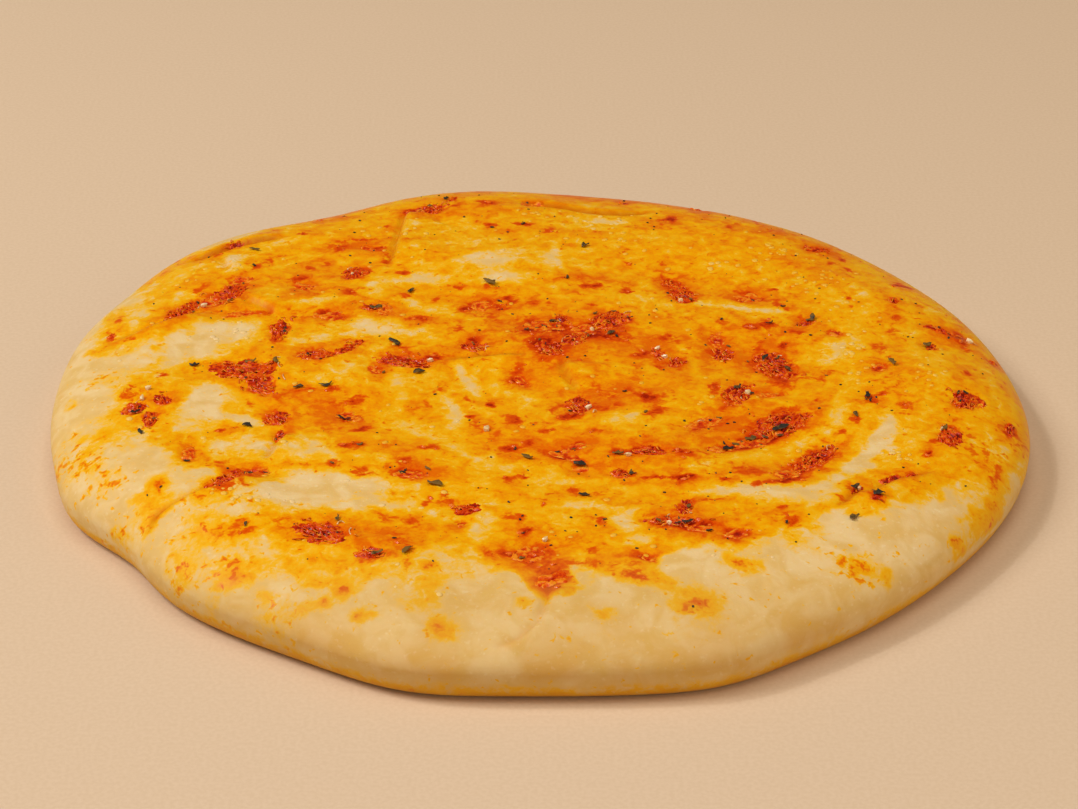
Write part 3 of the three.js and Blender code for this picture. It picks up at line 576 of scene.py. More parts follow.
@dataclass(frozen=True)
class Slab:
    """The dough's form: a round slab with a soft rolled rim.

    Attributes:
        radius: The plain round that the dough was pressed to.
        thickness: Of the level middle.
        widest_height: Height of the rim's widest line.
        shoulder: How far in from the widest line the top begins to roll over.
        undercut: How far the rim is tucked under, down to the flat base.
        lip: Width of the steep side of a fold's swollen lip.
        groove: Half the width of a fold's groove.
        dent: Depth of the dent that a tomato shred lies in.
        clot_lip: Height of the dough pushed up beside a shred, on its right and front.
    """

    radius: float = 148.2
    thickness: float = 22.0
    widest_height: float = 9.2
    shoulder: float = 35.0
    undercut: float = 5.5
    lip: float = 2.5
    groove: float = 1.05
    dent: float = 0.7
    clot_lip: float = 0.55
    edge_swells: tuple[EdgeSwell, ...] = (
        EdgeSwell(23, -1.3, 30), EdgeSwell(102, 6, 14), EdgeSwell(139.5, 8, 13.5),
        EdgeSwell(163, 3, 13), EdgeSwell(204.5, 1.5, 5.5), EdgeSwell(217, -4, 7.5),
        EdgeSwell(257, 5, 10), EdgeSwell(276, 3.5, 12.5), EdgeSwell(288.5, 5, 9),
        EdgeSwell(302, 2, 12), EdgeSwell(345, 2, 16),
    )
    top_swells: tuple[TopSwell, ...] = (
        TopSwell((-122, -60), 1.4, 24), TopSwell((-82, -98), 1.4, 24), TopSwell((-16, -132), -2, 14),
        TopSwell((26, -132), 0.9, 20), TopSwell((96, -98), 1, 26), TopSwell((112, -12), 0.7, 22),
        TopSwell((60, 96), 0.8, 30), TopSwell((-14, 88), 0.9, 28), TopSwell((-84, 62), -0.7, 20),
        TopSwell((-20, -24), -0.8, 30), TopSwell((66, -44), -0.9, 22), TopSwell((-128, 8), 1, 22),
    )
    waves: tuple[Wave, ...] = (Wave(0.35, 84, 20), Wave(0.3, 61, 105), Wave(0.22, 43, 62))
    folds: tuple[Fold, ...] = (
        Fold(((-50, 68), (-48.5, 85), (-47.5, 100), (-46.5, 113), (-41, 118), (-32, 121)),
             -1, 2.2, 13, 1.3, 0.6),
        Fold(((-119, 80), (-110, 84), (-102, 91), (-92, 95), (-83, 98)), 1, 1.6, 8, 1.6, 1.0),
        Fold(((-106, 82), (-105, 76), (-101, 68)), 1, 1, 6, 0.7, 0.3),
        Fold(((-134, 20), (-126, 24), (-118, 30), (-110, 36), (-104, 41)), -1, 1.5, 12, 1.3, 0.5),
        Fold(((-97, 52), (-93, 45), (-87, 40), (-83, 33)), 1, 1.4, 10, 1, 0.4),
        Fold(((-109, -92), (-106, -85), (-99, -81), (-92, -76), (-84, -69), (-76, -63)),
             -1, 2.4, 16, 1.6, 0.7),
        Fold(((-75, -43), (-76, -50), (-78, -60)), 1, 1.3, 9, 0.9, 0.5),
        Fold(((3, -125), (2, -134), (0, -140), (-5, -145), (-13, -148)), 1, 1.6, 14, 1.1, 0.25),
        Fold(((82, -89), (88, -80), (94, -77), (100, -71), (107, -67), (114, -62)),
             -1, 1.4, 12, 1.2, 0.8),
        Fold(((-9, 127), (8, 122), (18, 117), (30, 116), (42, 118)), 1, 0.8, 8, 0.9, 1.0),
        Fold(((8, 5), (7, -1), (9, -9), (12, -17)), 1, 1.1, 12, 0.9, 0.6),
        Fold(((-30, 5), (-18, 7), (-9, 8), (-2, 8)), -1, 0.6, 8, 0.7, 0.6),
        Fold(((120, 32), (128, 28), (137, 21)), -1, 1, 6, 0, 0.6),
    )
    clots: tuple[Clot, ...] = field(default_factory=lambda: CLOTS)

    def edge_radius(self, bearing: Array) -> Array:
        """Distance from the middle to the rim's widest line, for bearings in degrees.

        Args:
            bearing: Bearings in degrees.

        Returns:
            One distance for each bearing.
        """
        radius = np.full_like(np.asarray(bearing, float), self.radius)
        for swell in self.edge_swells:
            apart = (bearing - swell.bearing + 180) % 360 - 180
            radius += swell.out * hill(apart, swell.spread)
        return radius

    def relief(self, x: Array, y: Array) -> Array:
        """What the top has beyond its plain rolled shape, for places of the plan.

        Args:
            x: Places to the right.
            y: Places away from the viewer.

        Returns:
            One height for each place.
        """
        height = np.zeros_like(x)
        for swell in self.top_swells:
            height += swell.rise * hill(np.hypot(x - swell.at[0], y - swell.at[1]), swell.reach)
        for wave in self.waves:
            bearing = math.radians(wave.bearing)
            along = x * math.cos(bearing) + y * math.sin(bearing)
            height += wave.rise * np.sin(2 * math.pi * along / wave.length)
        for fold in self.folds:
            across, from_end, distance = fold.near(x, y)
            ends = smoothstep(0, 2 / 3, from_end)
            lip = smoothstep(-self.lip / 2, self.lip, across)
            height += fold.rise * ends * lip * hill(np.maximum(across, 0), fold.reach)
            height -= fold.depth * smoothstep(0, 0.4, from_end) * hill(distance, self.groove)
        for clot in self.clots:
            ring = clot.ring(x, y)
            height -= self.dent * hill(ring / 2, 0.7)
            if clot.lay is Lay.SHRED:
                along, across = x - clot.x, y - clot.y
                facing = (along - across) / np.maximum(np.hypot(along, across), 0.1) / math.sqrt(2)
                height += self.clot_lip * hill(ring - 1.35, 0.35) * np.clip(0.4 + 0.6 * facing, 0, 1)
        fine = Grain(11)
        height += 0.16 * fine.fractal(x, y, 11, 3) + 0.1 * Grain(12).swirled(x, y, 5, 14)
        return height

    def top_height(self, x: Array, y: Array) -> Array:
        """Height of the dough's upper surface over places of the plan.

        Args:
            x: Places to the right.
            y: Places away from the viewer.

        Returns:
            One height for each place.
        """
        edge = self.edge_radius(np.degrees(np.arctan2(y, x)))
        roll = np.clip((np.hypot(x, y) - (edge - self.shoulder)) / self.shoulder, 0, 1)
        level = np.sqrt(1 - roll**2)
        return self.widest_height + (self.thickness - self.widest_height + self.relief(x, y)) * level

    def normal(self, x: Array, y: Array) -> Array:
        """Direction in which the upper surface faces over places of the plan.

        Args:
            x: Places to the right.
            y: Places away from the viewer.

        Returns:
            One unit arrow for each place.
        """
        step = 0.4
        slope_x = (self.top_height(x + step, y) - self.top_height(x - step, y)) / (2 * step)
        slope_y = (self.top_height(x, y + step) - self.top_height(x, y - step)) / (2 * step)
        facing = np.stack([-slope_x, -slope_y, np.ones_like(slope_x)], -1)
        return facing / np.linalg.norm(facing, axis=1, keepdims=True)

    def inset(self, x: Array, y: Array) -> Array:
        """Distance of places of the plan from the rim's widest line, inwards."""
        return self.edge_radius(np.degrees(np.arctan2(y, x))) - np.hypot(x, y)


# ---- How the sauce lies ------------------------------------------------------


@dataclass(frozen=True)
class SauceCoat:
    """How much oil and how much tomato film lies on the dough, from 0 to about 1.

    Attributes:
        slab: The dough that carries the coat.
        splashes: Middle bearing, spread in degrees and count of the freckled spots on the rim.
    """

    slab: Slab
    splashes: tuple[tuple[float, float, int], ...] = (
        (205, 10, 17), (226, 8, 14), (318, 9, 5), (342, 11, 12), (12, 9, 5),
    )

    def covered(self, x: Array, y: Array) -> Array:
        """1 inside the sauce's edge and 0 on the bare rim, for places of the plan.

        Args:
            x: Places to the right.
            y: Places away from the viewer.

        Returns:
            One value for each place.
        """
        bearing = np.degrees(np.arctan2(y, x))
        bearings, distances = np.array(SAUCE_EDGE, float).T
        limit = np.interp(bearing, bearings, distances, period=360)
        wander = 6 * Grain(21).fractal(x, y, 9, 4)
        return smoothstep(-3.5, 5, limit + wander - np.hypot(x, y))

    def halo(self, x: Array, y: Array, margin: float) -> Array:
        """Nearness to the tomato clots.

        Args:
            x: Places to the right.
            y: Places away from the viewer.
            margin: How far beyond a clot's outline the nearness is felt.

        Returns:
            1 in a clot, fading to 0 beyond the margin.
        """
        x = x + 1.6 * Grain(22).fractal(x, y, 5, 3)
        y = y + 1.6 * Grain(23).fractal(x, y, 5, 3)
        clear = np.ones_like(x)
        for clot in self.slab.clots:
            clear *= 1 - np.exp(-(clot.ring(x, y, margin) ** 3))
        return 1 - clear

    def patches(self, x: Array, y: Array) -> Array:
        """What the named pale and rich stretches add to the oil.

        Args:
            x: Places to the right.
            y: Places away from the viewer.

        Returns:
            One value for each place.
        """
        x = x + 3 * Grain(27).fractal(x, y, 9, 4)
        y = y + 3 * Grain(28).fractal(x, y, 9, 4)
        amount = np.zeros_like(x)
        for patch in OIL_PATCHES:
            amount += patch.amount * np.exp(-0.62 * patch.ring(x, y) ** 2.8)
        return np.maximum(amount, -0.85)

    def stains(self, x: Array, y: Array, margin: float = 0.0) -> Array:
        """Depth of the named stains of tomato, felt as far as a margin beyond them.

        Args:
            x: Places to the right.
            y: Places away from the viewer.
            margin: How far beyond its outline a stain is felt.

        Returns:
            One value for each place.
        """
        x = x + 1.3 * Grain(35).fractal(x, y, 4, 4)
        y = y + 1.3 * Grain(36).fractal(x, y, 4, 4)
        clear = np.ones_like(x)
        for stain in STAINS:
            clear *= 1 - stain.amount * np.exp(-0.7 * stain.ring(x, y, margin) ** 2.4)
        return 1 - clear

    def splashed(self, x: Array, y: Array) -> Array:
        """How thickly the rim is freckled with sauce, from 0 to 1.

        Args:
            x: Places to the right.
            y: Places away from the viewer.

        Returns:
            One value for each place.
        """
        rng = np.random.default_rng(29)
        clear = np.ones_like(x)
        for middle, spread, count in self.splashes:
            for _ in range(count):
                bearing = rng.normal(middle, spread)
                radius = self.slab.edge_radius(np.array([bearing]))[0] - rng.normal(4, 9)
                spot_x = radius * math.cos(math.radians(bearing))
                spot_y = radius * math.sin(math.radians(bearing))
                clear *= 1 - 0.5 * hill(np.hypot(x - spot_x, y - spot_y), rng.uniform(2, 6))
        return 1 - clear

    def oil(self, x: Array, y: Array) -> Array:
        """How much oil has soaked in, from 0 for bare dough over 0.5 for golden to 1 for orange.

        Args:
            x: Places to the right.
            y: Places away from the viewer.

        Returns:
            One value for each place.
        """
        amount = 0.5 + 0.15 * Grain(24).swirled(x, y, 12, 34) + 0.1 * Grain(25).fractal(x, y, 18, 4)
        amount += 0.13 * Grain(26).swirled(x, y, 5, 12) + 0.08 * Grain(30).fractal(x, y, 3.4, 3)
        amount += 0.6 * self.patches(x, y) + 0.2 * self.halo(x, y, 4) + 0.22 * self.stains(x, y, 2)
        covered = self.covered(x, y)
        bare = 0.12 + 0.12 * Grain(33).fractal(x, y, 14, 4) + 0.56 * self.stains(x, y, 1)
        bare += 0.2 * self.splashed(x, y)
        return bare + covered * (amount - bare)

    def film(self, x: Array, y: Array) -> Array:
        """How much tomato film there is: none below 0.4, orange-red at 0.6 and red above 0.8.

        Args:
            x: Places to the right.
            y: Places away from the viewer.

        Returns:
            One value for each place.
        """
        amount = 0.16 + 0.2 * Grain(31).swirled(x, y, 5.5, 12) + 0.15 * Grain(32).fractal(x, y, 6, 4)
        amount += 0.25 * np.minimum(self.patches(x, y), 0.3)
        covered = self.covered(x, y)
        cover = 1 - (1 - self.stains(x, y)) * (1 - 0.7 * self.halo(x, y, 0.8))
        return covered * amount + 0.72 * cover * (0.85 + 0.15 * covered)


# ---- Meshes ------------------------------------------------------------------


def mesh_object(
    name: str, points: Array, faces: Sequence, material: bpy.types.Material
) -> bpy.types.Object:
    """Makes an object at the origin with its place in its mesh.

    Args:
        name: Name of the piece.
        points: Corners, in millimetres.
        faces: Corner numbers of each face.
        material: What the piece is made of.

    Returns:
        The new object, smooth shaded.
    """
    mesh = bpy.data.meshes.new(name)
    mesh.from_pydata((np.asarray(points) * METRE).tolist(), [], np.asarray(faces).tolist())
    mesh.materials.append(material)
    mesh.shade_smooth()
    piece = bpy.data.objects.new(name, mesh)
    bpy.context.scene.collection.objects.link(piece)
    return piece


def float_attribute(piece: bpy.types.Object, name: str, values: Array) -> None:
    """Stores one value for each corner of a piece, for its material to read."""
    attribute = piece.data.attributes.new(name, "FLOAT", "POINT")
    attribute.data.foreach_set("value", np.asarray(values, np.float32))


def dress(piece: bpy.types.Object) -> bpy.types.Object:
    """Lets a finished piece ride on the crust's body.

    Args:
        piece: The finished piece.

    Returns:
        The piece itself.
    """
    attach(piece, BODY)
    piece.data.calc_loop_triangles()
    LOG.info("%s: %d triangles", piece.name, len(piece.data.loop_triangles))
    return piece


# ---- Finishes ----------------------------------------------------------------


def new_material(name: str) -> tuple[bpy.types.NodeTree, bpy.types.Node, bpy.types.Material]:
    """Makes an empty material with a surface shader.

    Args:
        name: The real material, and how its surface was made.

    Returns:
        The tree, the shader and the material.
    """
    material = bpy.data.materials.new(name)
    material.use_nodes = True
    tree = material.node_tree
    tree.nodes.clear()
    shader = add_node(tree, "ShaderNodeBsdfPrincipled")
    add_node(tree, "ShaderNodeOutputMaterial", inputs={"Surface": shader.outputs[0]})
    return tree, shader, material


def noise(tree: bpy.types.NodeTree, place: bpy.types.NodeSocket, size: float, detail: float = 2.0,
          distortion: float = 0.0) -> bpy.types.NodeSocket:
    """A noise pattern whose grains are about one size in millimetres, from 0 to 1.

    Args:
        tree: Gets the nodes.
        place: Where the pattern is read.
        size: Size of a grain.
        detail: How many finer octaves it has.
        distortion: How far it is warped.

    Returns:
        The output of the pattern.
    """
    scale = 1 / (size * METRE)
    inputs = {"Vector": place, "Scale": scale, "Detail": detail, "Distortion": distortion}
    return add_node(tree, "ShaderNodeTexNoise", inputs=inputs).outputs["Fac"]


def maths(tree: bpy.types.NodeTree, operation: str, *values: object) -> bpy.types.NodeSocket:
    """One step of arithmetic on constants and outputs."""
    names = ("Value", "Value_001", "Value_002")
    return add_node(tree, "ShaderNodeMath", {"operation": operation}, dict(zip(names, values))).outputs[0]


def ramp(tree: bpy.types.NodeTree, share: bpy.types.NodeSocket,
         stops: Sequence[tuple[float, str]]) -> bpy.types.NodeSocket:
    """Colours along a share from 0 to 1, from stops of a place and a hex colour.

    Args:
        tree: Gets the nodes.
        share: Where along the ramp.
        stops: Place and hex colour of each stop.

    Returns:
        The output of the colour.
    """
    node = add_node(tree, "ShaderNodeValToRGB", inputs={"Fac": share})
    elements = node.color_ramp.elements
    while len(elements) < len(stops):
        elements.new(0.5)
    for element, (place, colour) in zip(elements, stops):
        element.position = place
        element.color = linear(colour)
    return node.outputs["Color"]


def eased(tree: bpy.types.NodeTree, value: bpy.types.NodeSocket, low: float,
          high: float) -> bpy.types.NodeSocket:
    """Eases from 0 at low to 1 at high.

    Args:
        tree: Gets the nodes.
        value: What is eased.
        low: Where it leaves 0.
        high: Where it reaches 1.

    Returns:
        The output of the eased value.
    """
    inputs = {"Value": value, "From Min": low, "From Max": high}
    settings = {"interpolation_type": "SMOOTHSTEP"}
    return add_node(tree, "ShaderNodeMapRange", settings, inputs).outputs["Result"]


def stored_value(tree: bpy.types.NodeTree, name: str) -> bpy.types.NodeSocket:
    """A value stored on the corners of the piece that the material is on."""
    settings = {"attribute_name": name, "attribute_type": "GEOMETRY"}
    return add_node(tree, "ShaderNodeAttribute", settings).outputs["Fac"]


MIXED_COLOUR = 2  # place of the colour among the mix node's outputs


def blended(tree: bpy.types.NodeTree, share: object, under: object,
            over: object) -> bpy.types.NodeSocket:
    """One colour over another by a share.

    Args:
        tree: Gets the nodes.
        share: How much of the upper colour shows.
        under: The lower colour.
        over: The upper colour.

    Returns:
        The output of the colour.
    """
    inputs = {"Factor_Float": share, "A_Color": under, "B_Color": over}
    return add_node(tree, "ShaderNodeMix", {"data_type": "RGBA"}, inputs).outputs[MIXED_COLOUR]


@dataclass(frozen=True)
class BakedDough:
    """Par-baked wheat dough under a thin coat of oil and tomato.

    The dough was pressed by hand and baked until it set: a dense pale skin that lets a little light in,
    dull where it is bare and with a soft shine where oil has soaked in.

    Attributes:
        bare_tones: Of dough without sauce.
        floury: Where flour still lies on it.
        roughness: Of the bare skin.
        oiled_roughness: Where oil has soaked in.
        glow_depth: How far light travels in the crumb.
        oil_stops: Colour by how much oil there is.
        film_stops: Colour by how much tomato there is.
        stain: Of the sauce in the grooves of the folds, and of the shade painted on the steep side of a
            fold's lip.
        browned: Colour by how far it baked, and of the shade painted low on the rim and on its front side.
        base_pale: Of the underside.
        base_brown: Of the spots that browned on the tray.
    """

    bare_tones: tuple[str, str] = ("#EACE96", "#E0BA6E")
    floury: str = "#F4E6C0"
    roughness: float = 0.58
    oiled_roughness: float = 0.36
    glow_depth: float = 2.2
    oil_stops: tuple[tuple[float, str], ...] = (
        (0.14, "#E6C688"), (0.26, "#EDC05A"), (0.38, "#F0B81C"), (0.5, "#F0AD00"),
        (0.62, "#EE9D00"), (0.76, "#EA8800"), (0.92, "#E26C00"),
    )
    film_stops: tuple[tuple[float, str], ...] = (
        (0.36, "#E68000"), (0.5, "#E26A00"), (0.62, "#DC5400"), (0.76, "#C83800"), (0.9, "#9C1A00"),
    )
    stain: str = "#C46A06"
    browned: tuple[tuple[float, str], ...] = ((0.25, "#C89C48"), (0.7, "#D48E18"))
    base_pale: str = "#DFBC84"
    base_brown: str = "#B8803F"

    def make(self) -> bpy.types.Material:
        """Builds the material."""
        tree, shader, material = new_material("par_baked_dough_pressed")
        place = add_node(tree, "ShaderNodeTexCoord").outputs["Object"]

        field_of = partial(stored_value, tree)
        blotch = noise(tree, place, 3.8, 5.0, 0.72)
        speck = noise(tree, place, 0.9, 3.0)
        broad = noise(tree, place, 9.0, 5.0, 0.6)
        both = maths(tree, "MULTIPLY_ADD", speck, 0.36, maths(tree, "MULTIPLY_ADD", blotch, 1.1, -0.73))

        dough = blended(tree, eased(tree, broad, 0.35, 0.65), *map(linear, self.bare_tones))
        flour = maths(tree, "MULTIPLY", eased(tree, noise(tree, place, 1.5, 2.0), 0.6, 0.74), 0.3)
        dough = blended(tree, flour, dough, linear(self.floury))
        freckle = maths(tree, "MULTIPLY_ADD", field_of("splash"), 0.26, noise(tree, place, 2.3, 2.0, 0.4))
        freckle = maths(tree, "MULTIPLY", eased(tree, freckle, 0.62, 0.84), 0.6)
        reach = maths(tree, "MULTIPLY_ADD", eased(tree, field_of("oil"), 0.12, 0.4), 0.65, 0.2)
        oil = maths(tree, "MULTIPLY_ADD", both, reach, maths(tree, "ADD", field_of("oil"), freckle))
        soaked = blended(tree, eased(tree, oil, 0.08, 0.34), dough, ramp(tree, oil, self.oil_stops))
        film = maths(tree, "MULTIPLY_ADD", both, 0.85, field_of("film"))
        sauced = blended(tree, eased(tree, film, 0.36, 0.58), soaked, ramp(tree, film, self.film_stops))
        # Sauce in the folds' grooves, and painted shade on the steep side of each swollen lip.
        folded = blended(tree, field_of("stain"), sauced, linear(self.stain))
        # Browning of the rim mixed with painted shade: darker low on the rim, a painted contact shadow at
        # the floor, and a darker front side.
        baked = blended(tree, field_of("browning_and_shade"), folded, ramp(tree, field_of("browning_and_shade"), self.browned))
        under = blended(tree, eased(tree, noise(tree, place, 13.0, 3.0, 0.5), 0.46, 0.8),
                        linear(self.base_pale), linear(self.base_brown))
        colour = blended(tree, field_of("under"), baked, under)

        shine = eased(tree, oil, 0.3, 0.6)
        rough = maths(tree, "MULTIPLY_ADD", shine, self.oiled_roughness - self.roughness, self.roughness)
        peel = maths(tree, "MULTIPLY_ADD", noise(tree, place, 2.6, 2.0), 1.6, noise(tree, place, 0.8, 4.0))
        skin = add_node(tree, "ShaderNodeBump", inputs={
            "Strength": 0.4, "Distance": 0.13 * METRE, "Height": peel})
        shader.inputs["Subsurface Weight"].default_value = 0.1
        shader.inputs["Subsurface Radius"].default_value = (1.0, 0.45, 0.12)
        shader.inputs["Subsurface Scale"].default_value = self.glow_depth * METRE
        shader.inputs["IOR"].default_value = 1.45
        shader.inputs["Specular IOR Level"].default_value = 0.1
        tree.links.new(colour, shader.inputs["Base Color"])
        tree.links.new(rough, shader.inputs["Roughness"])
        tree.links.new(skin.outputs["Normal"], shader.inputs["Normal"])
        return material


@dataclass(frozen=True)
class BlisteredDough:
    """The dough's skin where it rose to a small blister: thinner and paler, and the oil ran off it."""

    roughness: float = 0.42
    stops: tuple[tuple[float, str], ...] = (
        (0.1, "#EED29A"), (0.35, "#F0CA6C"), (0.5, "#F0BE3C"), (0.8, "#ECAA14"),
    )

    def make(self) -> bpy.types.Material:
        """Builds the material."""
        tree, shader, material = new_material("par_baked_dough_blistered")
        place = add_node(tree, "ShaderNodeTexCoord").outputs["Object"]
        oil = maths(tree, "ADD", stored_value(tree, "tone"), -0.2)
        share = maths(tree, "MULTIPLY_ADD", noise(tree, place, 1.2, 3.0), 0.4, oil)
        tree.links.new(ramp(tree, share, self.stops), shader.inputs["Base Color"])
        shader.inputs["Roughness"].default_value = self.roughness
        shader.inputs["IOR"].default_value = 1.45
        return material


@dataclass(frozen=True)
class CookedTomato:
    """Cooked tomato, torn and wet with oil: orange-red where it is thin and deep red where it is thick. On
    the clots, their hollows are painted darker as shade and their crests lighter as highlight.

    Attributes:
        name: Name of the material.
        field: Name of the stored depth that darkens it, or nothing; on the clots it holds painted shade and
            highlight besides depth.
        lift: Added to the depth.
        roughness: Of its wet skin.
    """

    name: str
    field: str = ""
    lift: float = 0.0
    roughness: float = 0.2
    stops: tuple[tuple[float, str], ...] = (
        (0.06, "#F0921A"), (0.24, "#E66A04"), (0.44, "#D84200"), (0.64, "#AC1C02"), (0.88, "#560802"),
    )

    def make(self) -> bpy.types.Material:
        """Builds the material."""
        tree, shader, material = new_material(self.name)
        place = add_node(tree, "ShaderNodeTexCoord").outputs["Object"]
        share = maths(tree, "MULTIPLY_ADD", noise(tree, place, 1.8, 4.0, 0.5), 0.7, self.lift - 0.15)
        if self.field:
            share = maths(tree, "ADD", share, stored_value(tree, self.field))
        wet = maths(tree, "MULTIPLY_ADD", noise(tree, place, 0.8, 2.0), 0.35, self.roughness - 0.12)
        crinkle = add_node(tree, "ShaderNodeBump", inputs={
            "Strength": 0.6, "Distance": 0.15 * METRE, "Height": noise(tree, place, 0.45, 3.0)})
        tree.links.new(ramp(tree, share, self.stops), shader.inputs["Base Color"])
        tree.links.new(wet, shader.inputs["Roughness"])
        tree.links.new(crinkle.outputs["Normal"], shader.inputs["Normal"])
        shader.inputs["IOR"].default_value = 1.4
        shader.inputs["Specular IOR Level"].default_value = 0.4
        return material


@dataclass(frozen=True)
class Seasoning:
    """A bit of seasoning, mottled in two tones: a herb leaf, pepper, garlic or the skin of an onion.

    Attributes:
        name: Name of the material.
        dark: Its darker tone.
        light: Its lighter tone.
        roughness: Of its surface.
        field: Name of a stored tone that lightens it, or nothing.
    """

    name: str
    dark: str
    light: str
    roughness: float = 0.6
    field: str = ""

    def make(self) -> bpy.types.Material:
        """Builds the material."""
        tree, shader, material = new_material(self.name)
        place = add_node(tree, "ShaderNodeTexCoord").outputs["Object"]
        share = noise(tree, place, 1.4, 3.0)
        if self.field:
            share = maths(tree, "ADD", share, stored_value(tree, self.field))
        share = eased(tree, share, 0.35, 0.65)
        colour = blended(tree, share, linear(self.dark), linear(self.light))
        veins = add_node(tree, "ShaderNodeBump", inputs={
            "Strength": 0.5, "Distance": 0.1 * METRE, "Height": noise(tree, place, 0.4, 2.0)})
        tree.links.new(colour, shader.inputs["Base Color"])
        tree.links.new(veins.outputs["Normal"], shader.inputs["Normal"])
        shader.inputs["Roughness"].default_value = self.roughness
        return material


# ---- The dough ---------------------------------------------------------------


@dataclass
class DoughSkin:
    """The crust's dough, from the middle of its top over the rim to the flat base.

    Attributes:
        slab: Its form.
        coat: What lies on it.
        level_rings: Rings of faces on the level middle of the top.
        shoulder_rings: Rings on the shoulder, down to the widest line.
        tuck_rings: Rings from the widest line down to the base.
        base_rings: Rings of the flat base.
    """

    slab: Slab
    coat: SauceCoat
    level_rings: int = 116
    shoulder_rings: int = 44
    tuck_rings: int = 6
    base_rings: int = 40

    def hexagon(self, rings: int, spoke: Callable[[int, Array], Array]) -> tuple[Array, Array]:
        """Rings of corners in which ring k has 6k, so that the triangles are near to equal-sided.

        Args:
            rings: How many rings there are.
            spoke: Gives the distance from the middle for a ring and its bearings in radians.

        Returns:
            The corners in the plan, and the triangles.
        """
        corners = [np.zeros((1, 2))]
        triangles = []
        start = 0
        for ring in range(1, rings + 1):
            inner_start = start
            start = 1 + 3 * ring * (ring - 1)
            bearing = 2 * math.pi * np.arange(6 * ring) / (6 * ring)
            reach = spoke(ring, bearing)
            corners.append(np.stack([reach * np.cos(bearing), reach * np.sin(bearing)], -1))
            sector = np.repeat(np.arange(6), ring)
            step = np.tile(np.arange(ring), 6)
            inner_count = max(6 * (ring - 1), 1)
            outer = start + sector * ring + step
            outer_next = start + (sector * ring + step + 1) % (6 * ring)
            inner = inner_start + (sector * (ring - 1) + step) % inner_count
            triangles.append(np.stack([outer, outer_next, inner], -1))
            if ring > 1:
                keep = step < ring - 1
                inner_next = inner_start + (sector * (ring - 1) + step + 1) % inner_count
                triangles.append(np.stack([outer_next, inner_next, inner], -1)[keep])
        return np.concatenate(corners), np.concatenate(triangles)

    def spoke(self, ring: int, bearing: Array) -> Array:
        """Distance of a ring of the top from the middle.

        Args:
            ring: Number of the ring, from the middle.
            bearing: Bearings in radians.

        Returns:
            One distance for each bearing.
        """
        inward = self.slab.edge_radius(np.degrees(bearing)) - self.slab.shoulder
        if ring <= self.level_rings:
            return inward * ring / self.level_rings
        roll = (ring - self.level_rings) / self.shoulder_rings * math.pi / 2
        return inward + self.slab.shoulder * math.sin(roll)

    def build(self) -> bpy.types.Object:
        """Builds the mesh and its fields."""
        rings = self.level_rings + self.shoulder_rings
        plan, faces = self.hexagon(rings, self.spoke)
        x, y = plan[:, 0], plan[:, 1]
        around = 6 * rings
        height = self.slab.top_height(x, y)
        height[-around:] = self.slab.widest_height
        points = [np.column_stack([x, y, height])]
        triangles = [faces]

        bearing = 2 * math.pi * np.arange(around) / around
        edge = self.slab.edge_radius(np.degrees(bearing))
        rim_start = len(plan) - around
        count = len(plan)
        for ring in range(1, self.tuck_rings + 1):
            tuck = ring / self.tuck_rings * math.pi / 2
            reach = edge - self.slab.undercut * (1 - math.cos(tuck))
            low = self.slab.widest_height * (1 - math.sin(tuck))
            points.append(np.column_stack(
                [reach * np.cos(bearing), reach * np.sin(bearing), np.full(around, max(low, 0.0))]))
            here = np.arange(around)
            there = (here + 1) % around
            triangles.append(np.stack([rim_start + here, count + here, count + there], -1))
            triangles.append(np.stack([rim_start + here, count + there, rim_start + there], -1))
            rim_start = count
            count += around

        base_edge = edge - self.slab.undercut
        base_plan, base_faces = self.hexagon(
            self.base_rings,
            lambda ring, angle: np.interp(angle, bearing, base_edge, period=2 * math.pi)
            * (ring / self.base_rings) * (1 - 0.6 / self.slab.radius),
        )
        points.append(np.column_stack([base_plan, np.zeros(len(base_plan))]))
        triangles.append(base_faces[:, ::-1] + count)
        base_around = 6 * self.base_rings
        base_start = count + len(base_plan) - base_around
        many = around // base_around
        for i in range(base_around):
            inner, inner_next = base_start + i, base_start + (i + 1) % base_around
            outer = [rim_start + (many * i + step) % around for step in range(many + 1)]
            fan = [[outer[k], inner, outer[k + 1]] for k in range(many)]
            triangles.append(np.array([*fan, [outer[many], inner, inner_next]]))

        points = np.concatenate(points)
        piece = mesh_object("dough", points, np.concatenate(triangles), BakedDough().make())
        self.store_fields(piece, points, len(plan))
        return piece

    def store_fields(self, piece: bpy.types.Object, points: Array, top_count: int) -> None:
        """Stores what lies on the dough, how it baked and the shade painted on its rim and beside its folds,
        at each corner.

        Args:
            piece: The dough.
            points: Its corners.
            top_count: How many of them, from the first, are on the top.
        """
        x, y, z = points.T
        below = np.arange(len(points)) >= top_count
        out_x, out_y = self.unrolled(x, y, z, below)
        low = smoothstep(8, 2, z)
        oil = self.coat.oil(out_x, out_y) + 0.3 * low
        film = self.coat.film(out_x, out_y) - 0.1 * low - 0.2 * smoothstep(122, 140, y)
        stain = np.zeros_like(x)
        for fold in self.slab.folds:
            across, from_end, distance = fold.near(x, y)
            # The first term is painted shade on the steep side of the lip; the second is sauce in the
            # groove.
            steep = 0.5 * hill(across - 0.8, 1.5) * smoothstep(6, 2, distance) + 0.8 * hill(distance, 0.8)
            stain = np.maximum(stain, fold.stain * smoothstep(0, 0.4, from_end) * np.minimum(steep, 1))
